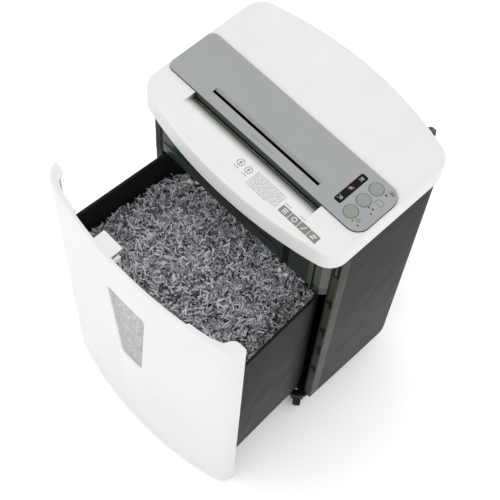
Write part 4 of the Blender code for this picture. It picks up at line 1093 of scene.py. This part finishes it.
class SHREDDER_OT_casters(bpy.types.Operator):
    """Finish the casters"""

    bl_idname = "shredder.casters"
    bl_label = "Casters"

    def execute(self, context):
        for place in ("front_left", "front_right", "rear_left", "rear_right"):
            refinish(FINISHES["black"], f"caster_fork_{place}", bevel=0.5)
            refinish(FINISHES["rubber"], f"caster_wheel_{place}", bevel=0.4)
        return {"FINISHED"}


# ---------------------------------------------------------------- drawer

def drawer_outline(inset, back_y):
    chord = HALF_W - CORNER_R
    ahead = LID_LOW.y + FRONT_BOW + CORNER_R - TRAVEL - back_y
    radius = CORNER_R - inset
    side = chord + (math.sqrt(radius * radius - ahead * ahead) if ahead > 0 else radius)
    points = [(x, y - TRAVEL) for x, y in front_edge(inset)]
    points = [(x, y) for x, y in points if y < back_y - 0.5]
    return [(side, back_y)] + points + [(-side, back_y)]


def window_outline(margin, steps=8):
    top, bottom = WINDOW_TOP - margin, WINDOW_TOP - WINDOW_H + margin
    wide, narrow = WINDOW_TOP_W / 2 - margin, WINDOW_BOTTOM_W / 2 - margin
    r = max(WINDOW_R - margin * 0.5, 2.0)
    points = []
    for x, z, start in ((wide, top, 0), (-wide, top, 90), (-narrow, bottom, 180), (narrow, bottom, 270)):
        sx = 1 if x > 0 else -1
        sz = 1 if z == top else -1
        points += arc(x - sx * r, z - sz * r, r, start, start + 90, steps)
    return points


class SHREDDER_OT_drawer_front(bpy.types.Operator):
    """Make the bowed drawer front with its window and its tab, and finish the pane"""

    bl_idname = "shredder.drawer_front"
    bl_label = "Drawer front"

    def execute(self, context):
        back_y = FRONT_HIGH.y
        low, top = FRONT_LOW.z, FRONT_HIGH.z
        levels = [(1.4, low), (0.5, low + 0.4), (0.0, low + 1.4), (0.0, top - 1.6), (0.12, top - 0.9),
                  (0.5, top - 0.35), (1.3, top)]
        rings = []
        for inset, z in levels:
            outline = drawer_outline(inset, back_y) + drawer_outline(FRONT_WALL - inset, back_y)[::-1]
            rings.append([(x, y, z) for x, y in outline])
        front = loft("front_shell", rings, FINISHES["white"])
        cap_line = drawer_outline(FRONT_WALL - 3.0, back_y)
        caps = []
        for hand, word in ((-1, "left"), (1, "right")):
            rim = [p for p in cap_line if hand * p[0] > 118.0]
            rim = rim if hand > 0 else rim[::-1]
            end_y = rim[-1][1]
            tail = [(122.0, end_y + 6.5), (140.0, end_y + 9.0), (158.0, end_y + 13.0), (168.0, end_y + 16.8),
                    (176.0, end_y + 21.0), (178.5, back_y - 11.5), (181.5, back_y - 6.0),
                    (186.5, back_y - 1.2), (192.0, back_y)]
            caps.append(prism(f"{word}_cap", rim + [(hand * x, y) for x, y in tail], top - 4.0, top - 0.05))
        tab_low, tab_high = (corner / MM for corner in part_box("interlock_tab"))
        tab = block("tab", (tab_low.x, tab_low.y - 4.5, tab_low.z), tuple(tab_high))
        rib = block(
            "rib", (tab_high.x + 1.5, tab_low.y - 4.5, tab_low.z - 12),
            (tab_high.x + 6.5, tab_low.y + 9, tab_low.z - 3),
        )
        join(front, *caps, tab, rib)
        middle_y = FRONT_LOW.y
        depths = ((-6.5, middle_y - 5.0), (-3.4, middle_y), (0.0, middle_y + 2.4), (0.0, middle_y + 14.0))
        flare = [[(x, y, z) for x, z in window_outline(margin)] for margin, y in depths]
        cut(front, loft("flare", flare))
        smooth(front, 30)
        put(front, "drawer", "drawer_front", "interlock_tab")
        refinish(window_acrylic(), "window_pane")
        return {"FINISHED"}


def bin_ring(inset, z, steps=8):
    """The bin's plan at one height. Its sides draw in towards the back."""
    front, back = BIN_LOW.y, BIN_HIGH.y
    half = BIN_HIGH.x
    radius, back_r = BIN_FRONT_R, BIN_BACK_R
    bow = FRONT_BOW * 0.82
    chord = half - radius
    bow_r = (chord * chord + bow * bow) / (2 * bow)
    lean = math.degrees(math.asin(chord / bow_r))
    corner_y = front + bow + radius
    small, move = max(radius - inset, 1.0), max(inset - radius + 1.0, 0.0)
    points = arc(chord - move, corner_y + move, small, 0, -90 + lean, steps)
    points += arc(0, front + radius + bow_r + move, bow_r + small, -90 + lean, -90 - lean, 24)[1:-1]
    points += arc(-chord + move, corner_y + move, small, -90 - lean, -180, steps)
    small, move = max(back_r - inset, 1.0), max(inset - back_r + 1.0, 0.0)
    points += arc(-half + back_r + move, back - back_r - move, small, 180, 90, steps)
    points += arc(half - back_r - move, back - back_r - move, small, 90, 0, steps)
    return [(x * (1 - BIN_TAPER * max(0.0, y - corner_y) / half), y, z) for x, y in points]


class SHREDDER_OT_bin(bpy.types.Operator):
    """Make the bin with its rolled rim and finish the glides"""

    bl_idname = "shredder.bin"
    bl_label = "Bin"

    def execute(self, context):
        low, top = BIN_LOW.z, BIN_HIGH.z
        outer = [(4.0, low), (1.0, low + 1.0), (0.0, low + 4.0), (0.0, top - 0.8), (0.4, top - 0.2),
                 (1.0, top)]
        inner = [(4.6, top), (5.2, top - 0.3), (5.4, top - 0.9), (5.4, top - 4.0), (BIN_WALL, top - 7.0),
                 (BIN_WALL, low + 6.0), (BIN_WALL + 3.0, low + BIN_WALL + 0.2)]
        rings = [bin_ring(inset, z) for inset, z in outer + inner]
        box = loft("bin_shell", rings, FINISHES["bin"])
        # The second material is the bin's plastic darkened as painted shade, for the inside, the rim and the
        # floor
        box.data.materials.append(FINISHES["bin_inside_painted_shade"])
        window = prism("bin_window", window_outline(4.0), BIN_LOW.y - 6, BIN_LOW.y + BIN_WALL + 8, "Y")
        centre = Vector((0.0, (BIN_LOW.y + BIN_HIGH.y) / 2 * MM, 0.0))
        cut(box, window)
        for face in box.data.polygons:
            middle = face.center
            towards = centre - middle
            towards.z = 0.0
            on_rim = middle.z > (top - 0.3) * MM
            on_wall = face.normal.dot(towards.normalized()) > 0.2
            on_floor = face.normal.z > 0.5 and middle.z < (low + 20) * MM
            if on_rim or on_wall or on_floor:
                face.material_index = 1
        smooth(box, 35)
        put(box, "drawer", "bin")
        refinish(FINISHES["nylon"], "left_glide", "right_glide", bevel=0.4)
        return {"FINISHED"}


def heap_height(x, y):
    """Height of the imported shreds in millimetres: a low mound, uneven by a few millimetres."""
    middle_y = (BIN_LOW.y + BIN_HIGH.y) / 2 - 8.0
    across, along = x / 186.0, (y - middle_y) / 134.0
    out = min(1.0, (across * across + along * along) ** 0.5)
    dome = HEAP_CROWN * (1 - smoothstep(out * 0.95))
    wide = 6.0 * noise.noise(Vector((x / 34.0, y / 34.0, 1.7)))
    fine = 3.0 * noise.noise(Vector((x / 12.0, y / 12.0, 8.1)))
    return HEAP_RIM + dome + (wide + fine)


def inside_bin(x, y, outline):
    """Whether the point lies inside a plan outline."""
    inside = False
    for (x0, y0), (x1, y1) in zip(outline, outline[1:] + outline[:1]):
        if (y0 > y) != (y1 > y) and x < (x1 - x0) * (y - y0) / (y1 - y0) + x0:
            inside = not inside
    return inside


def add_shred(work, centre, turn, length, width, curl, slot):
    """One curled scrap of paper in three flat spans."""
    spans = 3
    previous = None
    for i in range(spans + 1):
        s = (i / spans - 0.5) * length
        bend = curl * ((2 * s / length) ** 2 - 0.35) * length
        pair = [work.verts.new(centre + turn @ Vector((s, side * width / 2, bend))) for side in (-1, 1)]
        if previous:
            face = work.faces.new((previous[0], pair[0], pair[1], previous[1]))
            face.material_index = slot
        previous = pair


def turn_by(angle, axis):
    return Matrix.Rotation(angle, 3, axis)


def scraps(name, work, *tones):
    """Rides one object, made of the scraps drawn so far, on the drawer. Each tone is a slot's paper."""
    mesh = bpy.data.meshes.new(name)
    work.to_mesh(mesh)
    work.free()
    for tone in tones:
        mesh.materials.append(FINISHES[f"paper_{tone}"])
    put(new_object(name, mesh, None), "drawer")


def add_bed():
    """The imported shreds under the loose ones, as one closed solid."""
    inner = [(x, y) for x, y, _ in bin_ring(BIN_WALL + 1.2, 0)]
    count = len(inner)
    middle_y = (BIN_LOW.y + BIN_HIGH.y) / 2
    rings = 26
    points = [(x, y, BIN_LOW.z + BIN_WALL + 4.0) for x, y in inner]
    for step in range(rings):
        share = 1 - step / rings
        for x, y in inner:
            px, py = x * share, middle_y + (y - middle_y) * share
            points.append((px, py, heap_height(px, py) - 3.0))
    faces = []
    for level in range(rings):
        a, b = level * count, (level + 1) * count
        faces += [[a + i, a + (i + 1) % count, b + (i + 1) % count, b + i] for i in range(count)]
    faces.append(list(range(count))[::-1])
    faces.append([rings * count + i for i in range(count)])
    # The bed's near-black paper is painted shade under the loose shreds
    bed = smooth(shell("shred_bed", points, faces, FINISHES["paper_bed_painted_shade"]), 60)
    put(bed, "drawer", "shredded_paper")


def add_loose_shreds(settings, draw):
    """Loose shreds strewn over the bed, with a few blank scraps on them."""
    outline = [(x, y) for x, y, _ in bin_ring(BIN_WALL + 1.0, 0)]
    work = bmesh.new()
    placed = 0
    while placed < settings.count:
        x, y = draw.uniform(BIN_LOW.x, BIN_HIGH.x), draw.uniform(BIN_LOW.y, BIN_HIGH.y)
        if not inside_bin(x, y, outline):
            continue
        long = settings.length * draw.uniform(0.7, 1.35)
        tilt = turn_by(draw.uniform(0, 2 * math.pi), "Z")
        tilt = tilt @ turn_by(draw.gauss(0, 0.42), "Y") @ turn_by(draw.gauss(0, 0.55), "X")
        z = heap_height(x, y) - 2.0 + draw.uniform(0, 7.0)
        ends = [Vector((x, y, 0)) + (tilt @ Vector((s, 0, 0))) * (long / MM / 2) for s in (-1, 1)]
        if not all(inside_bin(end.x, end.y, outline) for end in ends):
            continue
        # Mid and dark tones are partly print and partly painted shade among the shreds
        tone = draw.choices((0, 1, 2), (0.5, 0.34, 0.16))[0]
        add_shred(
            work, Vector((x, y, z)) * MM, tilt, long, settings.width * draw.uniform(0.7, 1.25),
            draw.uniform(-0.22, 0.28), tone,
        )
        placed += 1
    for x, y in STRAY_BITS:
        for _ in range(3):
            turn = turn_by(draw.uniform(0, 6.28), "Z") @ turn_by(draw.gauss(0, 0.5), "X")
            px, py = x + draw.uniform(-2, 2), y + draw.uniform(-2, 2)
            spot = Vector((px, py, heap_height(x, y) + draw.uniform(9, 15)))
            add_shred(work, spot * MM, turn, 8 * MM, 5.5 * MM, draw.uniform(0.2, 0.4), 3)
    scraps("loose_shreds", work, "light", "mid", "dark", "white")


def add_window_shreds(settings, draw):
    """Shreds lying flat against the inside of the window."""
    work = bmesh.new()
    for _ in range(WINDOW_SHREDS):
        z = min(draw.uniform(WINDOW_TOP - WINDOW_H + 4, WINDOW_TOP - 4), HEAP_RIM - 2)
        x = draw.uniform(-WINDOW_TOP_W / 2, WINDOW_TOP_W / 2)
        tilt = turn_by(math.pi / 2, "X") @ turn_by(draw.uniform(0, 2 * math.pi), "Z")
        tilt = turn_by(draw.gauss(0, 0.25), "Z") @ turn_by(draw.gauss(0, 0.25), "X") @ tilt
        y = BIN_LOW.y + BIN_WALL + 1.6 + draw.uniform(0, 2.0)
        add_shred(
            work, Vector((x, y, z)) * MM, tilt, settings.length * draw.uniform(0.6, 1.1),
            settings.width * draw.uniform(0.8, 1.3), draw.uniform(-0.04, 0.04),
            draw.choices((0, 1, 2), (0.5, 0.38, 0.12))[0],
        )
    scraps("window_shreds", work, "light", "mid", "dark")


class SHREDDER_OT_paper(bpy.types.Operator):
    """Heap the shreds in the bin and behind its window"""

    bl_idname = "shredder.paper"
    bl_label = "Shredded paper"

    def execute(self, context):
        settings = context.scene.shredder_paper
        draw = random.Random(settings.seed)
        add_bed()
        add_loose_shreds(settings, draw)
        add_window_shreds(settings, draw)
        return {"FINISHED"}


# ---------------------------------------------------------------- panel and registration

class SHREDDER_PT_parts(bpy.types.Panel):
    """Lists the steps that build the shredder"""

    bl_label = "Paper shredder"
    bl_space_type = "VIEW_3D"
    bl_region_type = "UI"
    bl_category = "Shredder"

    def draw(self, context):
        scene = context.scene
        for settings in (scene.shredder_studio, scene.shredder_lead, scene.shredder_paper):
            for name in settings.bl_rna.properties.keys():
                if name not in ("rna_type", "name"):
                    self.layout.prop(settings, name)
        for step in STEPS:
            self.layout.operator(step.bl_idname)


STEPS = (
    SHREDDER_OT_stage,
    SHREDDER_OT_mains_lead,
    SHREDDER_OT_lid,
    SHREDDER_OT_feed_panel,
    SHREDDER_OT_cabinet,
    SHREDDER_OT_head,
    SHREDDER_OT_casters,
    SHREDDER_OT_drawer_front,
    SHREDDER_OT_bin,
    SHREDDER_OT_paper,
)
SETTINGS = {
    "shredder_studio": StudioSettings,
    "shredder_lead": LeadSettings,
    "shredder_paper": ShredSettings,
}
CLASSES = (*SETTINGS.values(), *STEPS, SHREDDER_PT_parts)


def register():
    for made in CLASSES:
        bpy.utils.register_class(made)
    for name, group in SETTINGS.items():
        setattr(bpy.types.Scene, name, bpy.props.PointerProperty(type=group))


def unregister():
    for name in SETTINGS:
        delattr(bpy.types.Scene, name)
    for made in reversed(CLASSES):
        bpy.utils.unregister_class(made)


def main():
    register()
    for step in STEPS:
        getattr(bpy.ops.shredder, step.bl_idname.split(".")[1])()


if __name__ == "__main__":
    main()
